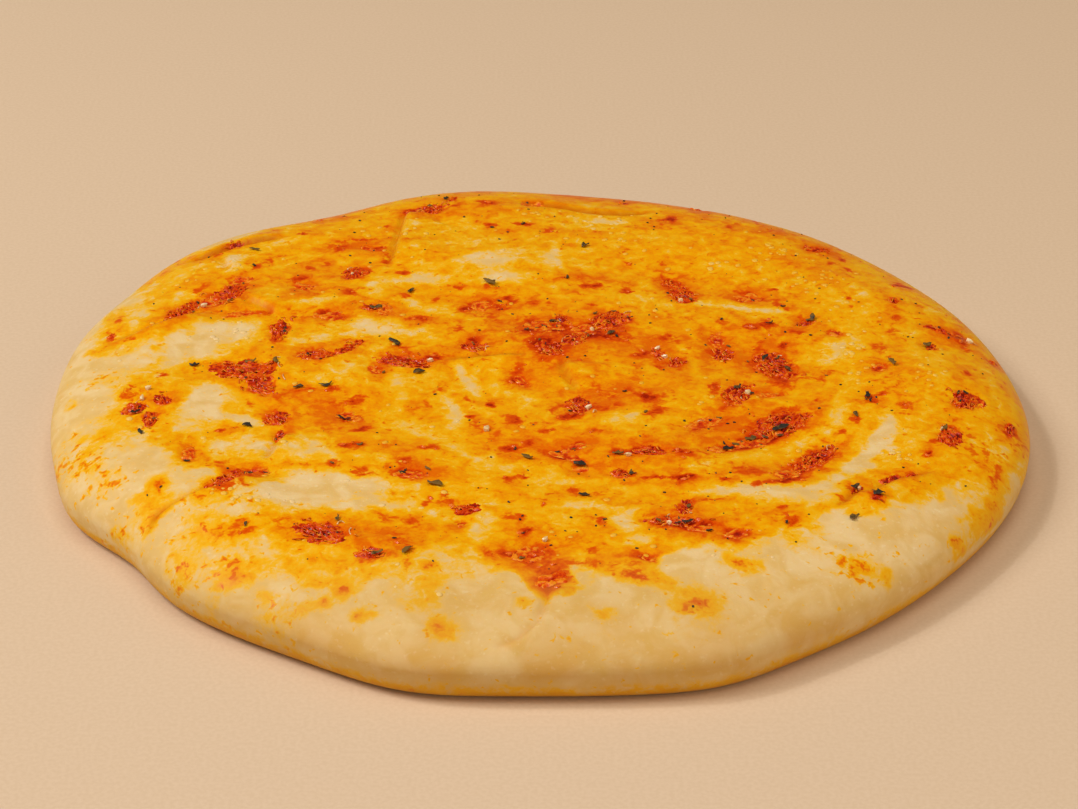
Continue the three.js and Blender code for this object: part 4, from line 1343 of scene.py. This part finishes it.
        # Browning from the tray mixed with painted shade: the rim darkens below its shoulder and most at the
        # floor, where a painted contact shadow lies, and its front side darkens as painted shade where it
        # faces away from the light. The left side, where the light falls, keeps only a quarter of it at the
        # far left.
        browning_and_shade = 0.24 * smoothstep(19, 8, z) + 0.6 * smoothstep(8, 0.8, z)
        browning_and_shade += 0.4 * smoothstep(-105, -140, y) * smoothstep(4, 9, z)
        browning_and_shade *= 1 - 0.75 * smoothstep(-95, -135, x)
        browning_and_shade *= np.clip(0.85 + 0.5 * Grain(41).fractal(out_x, out_y, 14, 4), 0, 1)
        float_attribute(piece, "oil", oil)
        float_attribute(piece, "film", film)
        float_attribute(piece, "splash", self.coat.splashed(out_x, out_y))
        float_attribute(piece, "stain", 0.9 * stain * ~below)
        float_attribute(piece, "browning_and_shade", 0.8 * browning_and_shade)
        float_attribute(piece, "under", np.where(below, smoothstep(1.6, 0.3, z), 0))

    def unrolled(self, x: Array, y: Array, z: Array, below: Array) -> tuple[Array, Array]:
        """Places of the plan, with those under the widest line moved out as far as they lie down.

        Args:
            x: Places to the right.
            y: Places away from the viewer.
            z: Heights.
            below: Whether each place is under the widest line.

        Returns:
            The moved places.
        """
        out = np.maximum(np.hypot(x, y), 1.0)
        away = np.where(below, 2.2 * (self.slab.widest_height - z), 0) / out
        return x * (1 + away), y * (1 + away)


# ---- Tomato ------------------------------------------------------------------


PULP_PALER = -0.26  # added to the depth of soft pulp, which is thinner and brighter than a proud shred


@dataclass
class TomatoPulp:
    """The crinkled clots of tomato that stand on the dough.

    Attributes:
        slab: The dough that they lie on.
        name: Name of the piece.
        lay: Which clots it has.
        step: Distance between the corners of a clot's skin.
        rise: Height of a clot over the dough.
        strands: How much narrower than a smear the strands of a clot are.
        root: How far a clot reaches below the dough.
    """

    slab: Slab
    name: str
    lay: Lay
    step: float
    rise: float
    strands: float
    root: float = 0.8

    def clot_mesh(self, clot: Clot, first: int) -> tuple[Array, Array, Array]:
        """One closed clot.

        Args:
            clot: Where it lies and how large it is.
            first: Number that its first corner gets.

        Returns:
            Its corners, its four-cornered faces, and how deep in the clot each corner is, with painted shade
            in the hollows and painted highlight on the crests added to it.
        """
        margin = 1.3
        along = np.arange(-clot.long / 2 * margin, clot.long / 2 * margin + self.step, self.step)
        across = np.arange(-clot.wide / 2 * margin, clot.wide / 2 * margin + self.step, self.step)
        a, b = np.meshgrid(along, across, indexing="ij")
        turn = math.radians(clot.turn)
        x = clot.x + a * math.cos(turn) - b * math.sin(turn)
        y = clot.y + a * math.sin(turn) + b * math.cos(turn)
        ragged = 0.35 + 1.0 / clot.wide
        ring = clot.ring(x, y) + ragged * Grain(51).fractal(x, y, 3.6, 4) + 0.04
        inside = ring < 1
        bend = 2.2 * Grain(52).fractal(x, y, 6, 2)
        strands = Grain(53).fractal(a * 0.5 + 40 * clot.x, (b + bend) * self.strands, 2.4, 3)
        fold = 1 - np.abs(Grain(55).fractal(x, y, 1.9, 2)) * 3.0
        crest = np.clip(0.72 * (1 - np.abs(strands) * 3.4) + 0.28 * fold, 0, 1)
        height = np.clip(1 - ring, 0, 1) ** 0.4 * (0.1 + crest) * self.rise
        ground = self.slab.top_height(x.ravel(), y.ravel()).reshape(x.shape)
        top = ground + np.where(inside, np.maximum(height, 0.05), -0.3)
        floor = ground - self.root

        cells = inside[:-1, :-1] | inside[1:, :-1] | inside[:-1, 1:] | inside[1:, 1:]
        used = np.zeros_like(inside)
        for di in (0, 1):
            for dj in (0, 1):
                used[di : di + cells.shape[0], dj : dj + cells.shape[1]] |= cells
        number = np.full(used.shape, -1)
        number[used] = np.arange(used.sum())
        count = int(used.sum())
        upper = np.column_stack([x[used], y[used], top[used]])
        lower = np.column_stack([x[used], y[used], floor[used]])
        ci, cj = np.nonzero(cells)
        quad = np.stack([number[ci, cj], number[ci + 1, cj], number[ci + 1, cj + 1], number[ci, cj + 1]], -1)
        walls = []
        padded = np.pad(cells, 1)
        for di, dj, start, end in ((0, -1, 0, 1), (1, 0, 1, 2), (0, 1, 2, 3), (-1, 0, 3, 0)):
            open_side = ~padded[ci + 1 + di, cj + 1 + dj]
            edge = quad[open_side][:, [start, end]]
            walls.append(np.stack([edge[:, 1], edge[:, 0], edge[:, 0] + count, edge[:, 1] + count], -1))
        faces = np.concatenate([quad, quad[:, ::-1] + count, *walls])
        # Deeper toward the clot's middle, plus painted shade in the hollows where the crest is low and
        # painted highlight on the crests.
        depth = 0.08 + 0.32 * np.clip(1 - ring, 0, 1) ** 0.7 + 0.56 * (0.5 - crest)
        return np.concatenate([upper, lower]), faces + first, np.tile(depth[used], 2)

    def build(self) -> bpy.types.Object:
        """Builds all clots as one piece."""
        points, faces, depths, count = [], [], [], 0
        for clot in self.slab.clots:
            if clot.lay is not self.lay:
                continue
            corners, quads, depth = self.clot_mesh(clot, count)
            points.append(corners)
            faces.append(quads)
            depths.append(depth)
            count += len(corners)
        lift = 0.0 if self.lay is Lay.SHRED else PULP_PALER
        finish = CookedTomato("cooked_" + self.name, "depth", lift)
        piece = mesh_object(self.name, np.concatenate(points), np.concatenate(faces), finish.make())
        float_attribute(piece, "depth", np.concatenate(depths))
        return piece


# ---- What is strewn on the crust ---------------------------------------------


class Bit(Enum):
    """The form of one strewn bit."""

    CHIP = "chip"  # a broken crumb with flat faces
    DOME = "dome"  # a round blister
    STRAND = "strand"  # a bent fibre


@dataclass
class Strewn:
    """Many small bits of one kind, put on the dough by a node tree and then made plain mesh.

    Attributes:
        name: Name of the piece.
        slab: The dough that they lie on.
        bit: Form of one bit.
        places: Where each lies in the plan, one row for each.
        sizes: Length, width and height of each.
        spins: Bearing of each one's long way, in degrees.
        sink: Share of the height that lies below the dough.
        seed: Of the small turns that no row gives.
        tone: A value for each that its material reads.
    """

    name: str
    slab: Slab
    bit: Bit
    places: Array
    sizes: Array
    spins: Array
    sink: float
    seed: int
    tone: Array | float = 0.0

    def seeds(self) -> bpy.types.Object:
        """A bare mesh with one corner for each bit, and its facing, size and spin stored there."""
        x, y = self.places.T
        facing = self.slab.normal(x, y)
        height = self.slab.top_height(x, y) + self.sizes[:, 2] * (0.5 - self.sink)
        mesh = bpy.data.meshes.new(self.name + "_seeds")
        mesh.from_pydata((np.column_stack([x, y, height]) * METRE).tolist(), [], [])
        for name, values in (("facing", facing), ("size", self.sizes * METRE)):
            attribute = mesh.attributes.new(name, "FLOAT_VECTOR", "POINT")
            attribute.data.foreach_set("vector", np.asarray(values, np.float32).ravel())
        for name, values in (("spin", np.radians(self.spins)), ("tone", self.tone + 0 * self.spins)):
            attribute = mesh.attributes.new(name, "FLOAT", "POINT")
            attribute.data.foreach_set("value", np.asarray(values, np.float32))
        seeds = bpy.data.objects.new(self.name, mesh)
        bpy.context.scene.collection.objects.link(seeds)
        return seeds

    def shape(self, tree: bpy.types.NodeTree, rough: bpy.types.NodeSocket) -> bpy.types.NodeSocket:
        """The nodes of one bit, one unit long, wide and high.

        Args:
            tree: Gets the nodes.
            rough: How much a chip's corners wander.

        Returns:
            The output of the mesh.
        """
        if self.bit is Bit.STRAND:
            line = add_node(tree, "GeometryNodeCurveQuadraticBezier", inputs={
                "Resolution": 4, "Start": (-0.5, -0.2, -0.5), "Middle": (0.0, 0.6, 0.7),
                "End": (0.5, -0.2, -0.6)})
            profile = add_node(tree, "GeometryNodeCurvePrimitiveCircle", {"mode": "RADIUS"},
                               {"Resolution": 4, "Radius": 0.12})
            inputs = {"Curve": line.outputs[0], "Profile Curve": profile.outputs[0], "Fill Caps": True}
            return add_node(tree, "GeometryNodeCurveToMesh", inputs=inputs).outputs[0]
        if self.bit is Bit.DOME:
            return add_node(tree, "GeometryNodeMeshUVSphere", inputs={
                "Segments": 8, "Rings": 5, "Radius": 0.5}).outputs["Mesh"]
        ball = add_node(tree, "GeometryNodeMeshIcoSphere", inputs={"Radius": 0.5, "Subdivisions": 1})
        wobble = add_node(tree, "ShaderNodeTexNoise", {"noise_dimensions": "4D"},
                          {"Scale": 2.0, "W": float(self.seed)}).outputs["Color"]
        off = add_node(tree, "ShaderNodeVectorMath", {"operation": "SUBTRACT"},
                       {"Vector": wobble, "Vector_001": (0.5, 0.5, 0.5)}).outputs[0]
        off = add_node(tree, "ShaderNodeVectorMath", {"operation": "SCALE"},
                       {"Vector": off, "Scale": rough}).outputs[0]
        return add_node(tree, "GeometryNodeSetPosition", inputs={
            "Geometry": ball.outputs["Mesh"], "Offset": off}).outputs[0]

    def tree(self, material: bpy.types.Material) -> bpy.types.NodeTree:
        """The node tree that sets one bit on every corner of the seeds.

        Args:
            material: What the bits are made of.

        Returns:
            The tree.
        """
        tree = bpy.data.node_groups.new(self.name, "GeometryNodeTree")
        sockets = tree.interface
        sockets.new_socket("Geometry", in_out="INPUT", socket_type="NodeSocketGeometry")
        sockets.new_socket("Roughness", in_out="INPUT", socket_type="NodeSocketFloat")
        sockets.new_socket("Tilt", in_out="INPUT", socket_type="NodeSocketFloat")
        sockets.new_socket("Geometry", in_out="OUTPUT", socket_type="NodeSocketGeometry")
        given = add_node(tree, "NodeGroupInput")

        def stored(name: str, kind: str) -> bpy.types.NodeSocket:
            """What the seeds store under a name."""
            return add_node(tree, "GeometryNodeInputNamedAttribute", {"data_type": kind},
                            {"Name": name}).outputs[0]

        less = add_node(tree, "ShaderNodeMath", {"operation": "MULTIPLY"},
                        {"Value": given.outputs["Tilt"], "Value_001": -1.0}).outputs[0]
        tilt = add_node(tree, "FunctionNodeRandomValue", {"data_type": "FLOAT"}, {
            "Min_001": less, "Max_001": given.outputs["Tilt"], "Seed": self.seed}).outputs[1]
        spin = add_node(tree, "FunctionNodeAxisAngleToRotation", inputs={
            "Axis": (0.0, 0.0, 1.0), "Angle": stored("spin", "FLOAT")}).outputs[0]
        lean = add_node(tree, "FunctionNodeAxisAngleToRotation", inputs={
            "Axis": (0.6, 0.8, 0.0), "Angle": tilt}).outputs[0]
        leaning = add_node(tree, "FunctionNodeRotateRotation", {"rotation_space": "LOCAL"}, {
            "Rotation": spin, "Rotate By": lean}).outputs[0]
        upright = add_node(tree, "FunctionNodeAlignRotationToVector", {"axis": "Z"}, {
            "Vector": stored("facing", "FLOAT_VECTOR")}).outputs[0]
        turned = add_node(tree, "FunctionNodeRotateRotation", {"rotation_space": "LOCAL"}, {
            "Rotation": upright, "Rotate By": leaning}).outputs[0]
        many = add_node(tree, "GeometryNodeInstanceOnPoints", inputs={
            "Points": given.outputs["Geometry"], "Instance": self.shape(tree, given.outputs["Roughness"]),
            "Rotation": turned, "Scale": stored("size", "FLOAT_VECTOR")})
        real = add_node(tree, "GeometryNodeRealizeInstances", inputs={"Geometry": many.outputs[0]})
        smooth = add_node(tree, "GeometryNodeSetShadeSmooth", inputs={
            "Geometry": real.outputs[0], "Shade Smooth": self.bit is not Bit.CHIP})
        coated = add_node(tree, "GeometryNodeSetMaterial", inputs={
            "Geometry": smooth.outputs[0], "Material": material})
        add_node(tree, "NodeGroupOutput", inputs={"Geometry": coated.outputs[0]})
        return tree

    def build(self, material: bpy.types.Material, roughness: float = 0.5,
              tilt: float = 0.25) -> bpy.types.Object:
        """Strews the bits and makes them plain mesh.

        Args:
            material: What the bits are made of.
            roughness: How much a chip's corners wander, as a share of its size.
            tilt: The most that a bit leans out of the dough's surface, in radians.

        Returns:
            The piece.
        """
        seeds = self.seeds()
        tree = self.tree(material)
        modifier = seeds.modifiers.new("strewn", "NODES")
        modifier.node_group = tree
        for item in tree.interface.items_tree:
            if item.in_out == "INPUT" and item.name in ("Roughness", "Tilt"):
                modifier[item.identifier] = roughness if item.name == "Roughness" else tilt
        depsgraph = bpy.context.evaluated_depsgraph_get()
        mesh = bpy.data.meshes.new_from_object(seeds.evaluated_get(depsgraph), depsgraph=depsgraph)
        seeds.modifiers.clear()
        bare = seeds.data
        seeds.data = mesh
        bpy.data.meshes.remove(bare)
        for attribute in [a for a in mesh.attributes if a.name in ("facing", "size", "spin")]:
            mesh.attributes.remove(attribute)
        if material.name not in [m.name for m in mesh.materials if m]:
            mesh.materials.append(material)
        mesh.name = self.name
        return seeds


@dataclass
class Toppings:
    """Everything small that is strewn on the crust, placed by seeded draws.

    Attributes:
        slab: The dough.
        coat: What the draws follow.
        pepper_count: Specks of ground pepper.
        crumb_count: Crumbs of tomato.
        fibre_room: Area of a clot's box for each fibre on it, in square millimetres.
    """

    slab: Slab
    coat: SauceCoat
    pepper_count: int = 420
    crumb_count: int = 420
    fibre_room: float = 4.2

    def draw(self, rng: np.random.Generator, count: int, margin: float,
             weight: Callable[[Array, Array], Array]) -> Array:
        """Draws places on the top.

        Args:
            rng: The seeded draw.
            count: How many places.
            margin: How far from the edge they keep.
            weight: Chance of keeping a place, from 0 to 1.

        Returns:
            One row for each place.
        """
        half = 150.0
        kept = np.zeros((0, 2))
        while len(kept) < count:
            tried = rng.uniform(-half, half, (4 * count, 2))
            x, y = tried.T
            inside = self.slab.inset(x, y) > margin
            keep = inside & (rng.uniform(0, 1, len(tried)) < weight(x, y))
            kept = np.concatenate([kept, tried[keep]])
        return kept[:count]

    def pepper(self) -> bpy.types.Object:
        """Ground black pepper, everywhere that sauce lies."""
        rng = np.random.default_rng(61)
        places = self.draw(rng, self.pepper_count, 8, lambda x, y: smoothstep(0.2, 0.8, self.coat.oil(x, y)))
        length = rng.uniform(0.2, 1.0, self.pepper_count) ** 2.5 * 0.9 + 0.3
        sizes = np.column_stack([length, length * rng.uniform(0.5, 0.9, len(length)), length * 0.5])
        spins = rng.uniform(0, 360, len(length))
        strewn = Strewn("pepper_specks", self.slab, Bit.CHIP, places, sizes, spins, 0.35, 61)
        return strewn.build(Seasoning("black_pepper_ground", "#140E08", "#33261A").make(), 0.8)

    def crumbs(self) -> bpy.types.Object:
        """Crumbs of tomato around the clots and in the film."""
        rng = np.random.default_rng(62)
        places = self.draw(rng, self.crumb_count, 8, lambda x, y: smoothstep(0.4, 0.9, self.coat.film(x, y)))
        length = rng.uniform(0.5, 1.0, self.crumb_count) ** 2 * 2.2 + 0.3
        sizes = np.column_stack([length, length * rng.uniform(0.4, 0.8, len(length)), length * 0.35])
        spins = rng.uniform(0, 360, len(length))
        strewn = Strewn("tomato_crumbs", self.slab, Bit.CHIP, places, sizes, spins, 0.4, 62)
        return strewn.build(CookedTomato("cooked_tomato_crumbs", lift=0.05).make(), 0.6)

    def fibres(self) -> bpy.types.Object:
        """Bent fibres of tomato on the proud shreds."""
        rng = np.random.default_rng(63)
        places, sizes, spins = [], [], []
        for clot in self.slab.clots:
            if clot.lay is not Lay.SHRED:
                continue
            for _ in range(int(clot.long * clot.wide / self.fibre_room)):
                turn = math.radians(clot.turn)
                along, across = rng.normal(0, 0.22, 2) * (clot.long, clot.wide)
                places.append((clot.x + along * math.cos(turn) - across * math.sin(turn),
                               clot.y + along * math.sin(turn) + across * math.cos(turn)))
                sizes.append((rng.uniform(0.9, 3.4), rng.uniform(1.2, 3.0), rng.uniform(0.7, 1.3)))
                spins.append(clot.turn + rng.normal(0, 30))
        strewn = Strewn("tomato_fibres", self.slab, Bit.STRAND, np.array(places), np.array(sizes),
                        np.array(spins), 0.0, 63, rng.uniform(-0.25, 0.3, len(places)))
        return strewn.build(CookedTomato("cooked_tomato_fibres", "tone").make(), 0.0, 0.3)

    def wisps(self) -> bpy.types.Object:
        """Pale translucent wisps of onion that stick out of the proud shreds."""
        rows = np.array([
            (-108, 42, 7, 62), (-105, 46, 4, 30), (-79, -2, 6, 112), (-77, -9, 7, 98), (-80, 3, 4, 60),
            (-119, -24, 6, 35), (-116, -27, 5, 110), (-51, -101, 7, 95), (-54, -96, 4, 20),
            (8, 17, 8, 70), (12, 15, 5, 120), (15, -28, 8, 85), (17, -31, 4, 40), (63, -18, 5, 20),
            (61, -21, 4, 80), (74, 7, 5, 30), (77, -4, 5, 100), (137, 24, 6, 140), (36, -92, 4, 90),
            (42, -90, 6, 95), (26, -57, 5, 10), (36, 9, 6, 60), (41, 4, 5, 100), (28, 36, 6, 20),
            (-62, 71, 5, 40), (84, -50, 5, 60), (48, -36, 6, 25), (-33, 3, 5, 170), (-16, 11, 4, 60),
        ], float)
        rng = np.random.default_rng(66)
        sizes = rows[:, 2:3] * (0.5, 0.0, 0.0) + rng.uniform((0, 0.8, 0.5), (0, 1.8, 0.9), (len(rows), 3))
        strewn = Strewn("onion_wisps", self.slab, Bit.STRAND, rows[:, :2], sizes, rows[:, 3], 0.0, 66)
        return strewn.build(Seasoning("onion_skin_cooked", "#E09A48", "#F0D09A", 0.3).make(), 0.0, 0.3)

    def blisters(self) -> bpy.types.Object:
        """Small pale blisters in the skin of the dough, in loose chains."""
        rng = np.random.default_rng(64)
        chains = (
            ((96, 45), (97, -15), 26, 3.0), ((116, 6), (117, -16), 12, 2.5), ((75, 86), (84, 82), 10, 3.0),
            ((86, 57), (96, 58), 12, 3.5), ((10, 104), (35, 88), 16, 4.0), ((-104, 21), (-88, 17), 12, 3.0),
            ((-92, -82), (-72, -84), 14, 3.0), ((98, -56), (114, -60), 10, 1.5),
            ((60, 70), (100, 70), 24, 7.0), ((-8, 115), (20, 108), 12, 4.0),
            ((-60, 96), (-36, 92), 8, 4.0), ((-118, 60), (-100, 72), 8, 4.0),
        )
        places = []
        for start, end, count, spread in chains:
            share = np.sort(rng.uniform(0, 1, count))[:, None]
            line = np.array(start) * (1 - share) + np.array(end) * share
            places.append(line + rng.normal(0, spread, (count, 2)))
        loose = self.draw(rng, 120, 20, lambda x, y: 0.2 + 0.6 * (Grain(65).value(x, y, 30) > 0.1))
        places = np.concatenate([*places, loose])
        across = rng.uniform(0.8, 2.0, len(places))
        sizes = np.column_stack([across * 1.2, across, across * 0.3])
        spins = rng.uniform(0, 360, len(places))
        oil = self.coat.oil(*places.T)
        strewn = Strewn("dough_blisters", self.slab, Bit.DOME, places, sizes, spins, 0.6, 64, oil)
        return strewn.build(BlisteredDough().make(), 0.0, 0.1)


@dataclass(frozen=True)
class Leaf:
    """One dried herb leaf or a torn part of one."""

    x: float
    y: float
    long: float
    turn: float


@dataclass
class HerbLeaves:
    """The dried herb leaves: thin, curled and torn.

    Attributes:
        slab: The dough that they lie on.
        coat: What the draws of the small ones follow.
        loose: How many small torn ones are strewn besides the larger ones.
        leaves: The larger ones.
    """

    slab: Slab
    coat: SauceCoat
    loose: int = 90
    leaves: tuple[Leaf, ...] = (
        Leaf(-57, -34, 4.4, 150), Leaf(71, -40, 5, 30), Leaf(-29, -75, 4.6, 155), Leaf(-45, 15, 5, 125),
        Leaf(-16, 57, 5, 130), Leaf(-52, 41, 4, 170), Leaf(12, -62, 3.6, 165), Leaf(86, 31, 4, 60),
        Leaf(121, 14, 4, 50), Leaf(108, -1, 4.5, 100), Leaf(-95, 85, 3.6, 160), Leaf(-64, -14, 4, 20),
        Leaf(87, -93, 3.4, 40), Leaf(98, -22, 3.6, 80), Leaf(16, 86, 3.4, 50), Leaf(-35, -112, 4, 60),
        Leaf(-36, -5, 3.5, 20), Leaf(27, -67, 3, 110), Leaf(23, -57, 3, 0), Leaf(41, -96, 3, 0),
        Leaf(23, 20, 3, 40), Leaf(-43, -113, 3, 20), Leaf(-32, 128, 2.6, 60), Leaf(-72, -16, 3, 10),
        Leaf(-85, -40, 3, 160), Leaf(-116, -43, 3, 110), Leaf(-105, 0, 3, 20), Leaf(-41, 53, 3, 60),
        Leaf(-3, -58, 3.5, 150), Leaf(13, -80, 3, 160), Leaf(94, -33, 2.5, 90), Leaf(119, -40, 3, 60),
        Leaf(73, 28, 2.5, 30), Leaf(-82, -67, 3, 30), Leaf(-55, -94, 3, 80), Leaf(5, 30, 3, 0),
        Leaf(-119, -31, 3, 20), Leaf(-88, 2, 3.5, 20), Leaf(-80, 1, 3, 100), Leaf(62, -45, 4, 30),
        Leaf(55, -52, 3.5, 20), Leaf(70, 5, 3.5, 60), Leaf(76, -2, 3, 120), Leaf(60, -15, 3, 50),
        Leaf(-99, 45, 3, 60), Leaf(15, 86, 2.2, 80), Leaf(89, -77, 3, 40), Leaf(95, -82, 3.2, 10),
    )

    def leaf_mesh(self, leaf: Leaf, rng: np.random.Generator, first: int) -> tuple[Array, Array]:
        """One closed leaf: five stations of three corners, above and below.

        Args:
            leaf: Where it lies and how long it is.
            rng: The seeded draw for its curl.
            first: Number that its first corner gets.

        Returns:
            Its corners and its faces.
        """
        stations = np.linspace(-0.5, 0.5, 5)
        widths = np.repeat([0.1, 0.17, 0.2, 0.16, 0.08], 3) * rng.uniform(0.4, 1.6, 15) * leaf.long
        bow = 1 - (2 * np.repeat(stations, 3)) ** 2
        along = (np.repeat(stations, 3) + rng.uniform(-0.07, 0.07, 15)) * leaf.long
        aside = np.tile([-1.0, 0.0, 1.0], 5)
        across = aside * widths + rng.uniform(-0.2, 0.2) * leaf.long * bow
        lift = rng.uniform(0.03, 0.15) * leaf.long * (1 - bow)
        lift = lift + rng.uniform(0.2, 0.9) * np.abs(aside) * widths
        lift = lift + rng.uniform(-0.5, 0.5) * across * np.repeat(stations, 3)
        lift = lift + rng.uniform(0, 0.09, 15) * leaf.long + 0.1
        turn = math.radians(leaf.turn)
        x = leaf.x + along * math.cos(turn) - across * math.sin(turn)
        y = leaf.y + along * math.sin(turn) + across * math.cos(turn)
        on_clot = max((1 - clot.ring(np.array([leaf.x]), np.array([leaf.y]))[0]
                       for clot in self.slab.clots if clot.lay is Lay.SHRED), default=0)
        ground = self.slab.top_height(x, y) + 0.8 * max(on_clot, 0) ** 0.5
        upper = np.column_stack([x, y, ground + np.maximum(lift, -0.05) + 0.08])
        lower = np.column_stack([x, y, ground + np.maximum(lift, -0.05) - 0.08])
        faces = []
        for i in range(4):
            for j in range(2):
                a = 3 * i + j
                quad = [a, a + 3, a + 4, a + 1]
                faces.append(quad)
                faces.append([k + 15 for k in reversed(quad)])
        outline = [0, 3, 6, 9, 12, 13, 14, 11, 8, 5, 2, 1]
        for a, b in zip(outline, outline[1:] + outline[:1]):
            faces.append([b, a, a + 15, b + 15])
        return np.concatenate([upper, lower]), np.array(faces) + first

    def build(self) -> bpy.types.Object:
        """Builds all leaves as one piece."""
        rng = np.random.default_rng(71)
        toppings = Toppings(self.slab, self.coat)
        places = toppings.draw(rng, self.loose, 14, lambda x, y: smoothstep(0.3, 0.9, self.coat.film(x, y)))
        small = [Leaf(x, y, rng.uniform(0.9, 2.2), rng.uniform(0, 180)) for x, y in places]
        points, faces, tones, count = [], [], [], 0
        for leaf in (*self.leaves, *small):
            corners, quads = self.leaf_mesh(leaf, rng, count)
            points.append(corners)
            faces.append(quads)
            tones.append(np.full(len(corners), rng.uniform(-0.3, 0.3)))
            count += len(corners)
        material = Seasoning("herb_leaf_dried", "#2A261C", "#7C5C1E", field="tone").make()
        piece = mesh_object("herb_leaves", np.concatenate(points), np.concatenate(faces), material)
        float_attribute(piece, "tone", np.concatenate(tones))
        return piece


@dataclass
class GarlicBits:
    """Small translucent bits of garlic and onion in the sauce.

    Attributes:
        slab: The dough that they lie on.
        places: Middle and length of each.
    """

    slab: Slab
    places: tuple[tuple[float, float, float], ...] = (
        (-118, -23, 2.4), (-107, 42, 2.6), (-15, -41, 2.8), (63, -18, 3.4), (37, 11, 2.2), (39, 5, 2.2),
        (36, -96, 1.8), (26, -58, 2.0), (-33, 3, 2.2), (15, -28, 2.4), (136, 24, 2.6), (2, -105, 2.0),
        (17, 24, 2.0), (-117, -17, 2.2), (46, 46, 1.8), (-61, 66, 1.6), (90, -77, 1.6), (118, -41, 1.6),
    )

    def build(self) -> bpy.types.Object:
        """Builds all bits as one piece."""
        rng = np.random.default_rng(81)
        rows = np.array(self.places)
        length = rows[:, 2]
        sizes = np.column_stack([length, length * rng.uniform(0.4, 0.7, len(rows)), np.full(len(rows), 1.7)])
        strewn = Strewn("garlic_bits", self.slab, Bit.CHIP, rows[:, :2], sizes,
                        rng.uniform(0, 180, len(rows)), 0.2, 81)
        return strewn.build(Seasoning("garlic_cooked", "#E9C98A", "#F7E6BE", 0.3).make(), 0.4)


# ---- The studio --------------------------------------------------------------


@dataclass
class Studio:
    """A plain pale floor, soft light from the left, and the camera at the photograph's angle.

    Attributes:
        distance: From the point that the camera looks at.
        elevation: Of the camera over the floor, in degrees.
        lens: Focal length of the camera on a 36 mm frame.
        target: The point that the camera looks at.
    """

    distance: float = 825.0
    elevation: float = 27.83
    lens: float = 87.43
    target: tuple[float, float, float] = (0.33, 15.29, 0.0)

    def floor(self) -> bpy.types.Object:
        """A wide level sheet of pale card."""
        half = 4000.0
        tree, shader, material = new_material("card_pale_matt")
        place = add_node(tree, "ShaderNodeTexCoord").outputs["Object"]
        share = eased(tree, noise(tree, place, 1.2, 3.0), 0.3, 0.7)
        tree.links.new(blended(tree, share, linear("#D9C2A6"), linear("#DEC8AE")),
                       shader.inputs["Base Color"])
        shader.inputs["Roughness"].default_value = 0.9
        corners = np.array([(-half, -half, 0), (half, -half, 0), (half, half, 0), (-half, half, 0)])
        sheet = mesh_object("floor", corners, [[0, 1, 2, 3]], material)
        return sheet

    def camera(self) -> bpy.types.Object:
        """The camera, at the place that the photograph was taken from."""
        data = bpy.data.cameras.new("camera")
        data.lens = self.lens
        data.sensor_width = 36.0
        data.clip_start, data.clip_end = 0.05, 50.0
        camera = bpy.data.objects.new("camera", data)
        bpy.context.scene.collection.objects.link(camera)
        lean = math.radians(self.elevation)
        back = Vector((0, -math.cos(lean), math.sin(lean)))
        camera.location = (Vector(self.target) + self.distance * back) * METRE
        camera.rotation_mode = "QUATERNION"
        camera.rotation_quaternion = (-back).to_track_quat("-Z", "Y")
        bpy.context.scene.camera = camera
        return camera

    def lamp(self, name: str, place: tuple[float, float, float], width: float, power: float,
             colour: str) -> bpy.types.Object:
        """A square soft lamp that looks at the crust, with its place in metres.

        Args:
            name: Name of the lamp.
            place: Where it hangs.
            width: Length of its side.
            power: In watts.
            colour: Hex colour of its light.

        Returns:
            The lamp.
        """
        data = bpy.data.lights.new(name, "AREA")
        data.shape = "SQUARE"
        data.size = width
        data.energy = power
        data.color = linear(colour)[:3]
        lamp = bpy.data.objects.new(name, data)
        bpy.context.scene.collection.objects.link(lamp)
        lamp.location = place
        lamp.rotation_mode = "QUATERNION"
        lamp.rotation_quaternion = (-Vector(place)).to_track_quat("-Z", "Y")
        return lamp

    def build(self) -> None:
        """Builds the floor, the lamps, the surrounding light and the camera."""
        self.floor()
        self.camera()
        self.lamp("key_light", (-1.65, -0.1, 1.8), 1.0, 30.0, "#FFF7EE")
        self.lamp("glint_light", (-1.5, 0.1, 2.0), 0.12, 7.0, "#FFFFFF")
        self.lamp("top_light", (0.1, -0.45, 2.3), 1.6, 19.0, "#FFF4E8")
        self.lamp("front_light", (0.3, -2.0, 0.9), 1.6, 6.0, "#FFF4E8")
        self.lamp("side_light", (2.0, -0.5, 1.0), 1.8, 11.0, "#FFE4C2")
        world = bpy.data.worlds.new("surroundings")
        world.use_nodes = True
        background = world.node_tree.nodes["Background"]
        background.inputs["Color"].default_value = linear("#FFE2B8")
        background.inputs["Strength"].default_value = 0.13
        bpy.context.scene.world = world
        bpy.context.scene.view_settings.view_transform = "Standard"


def main() -> None:
    """Builds the crust, its toppings and the studio."""
    logging.basicConfig(level=logging.INFO, format="%(name)s %(message)s")
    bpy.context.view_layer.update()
    slab = Slab()
    coat = SauceCoat(slab)
    dough = dress(DoughSkin(slab, coat).build())
    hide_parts("crust")
    dress(TomatoPulp(slab, "tomato_shreds", Lay.SHRED, 0.33, 1.3, 1.9).build())
    dress(TomatoPulp(slab, "tomato_pulp", Lay.PULP, 0.36, 0.7, 0.9).build())
    toppings = Toppings(slab, coat)
    dress(toppings.fibres())
    dress(toppings.crumbs())
    dress(toppings.pepper())
    dress(HerbLeaves(slab, coat).build())
    dress(toppings.blisters())
    dress(toppings.wisps())
    dress(GarlicBits(slab).build())
    Studio().build()


if __name__ == "__main__":
    main()
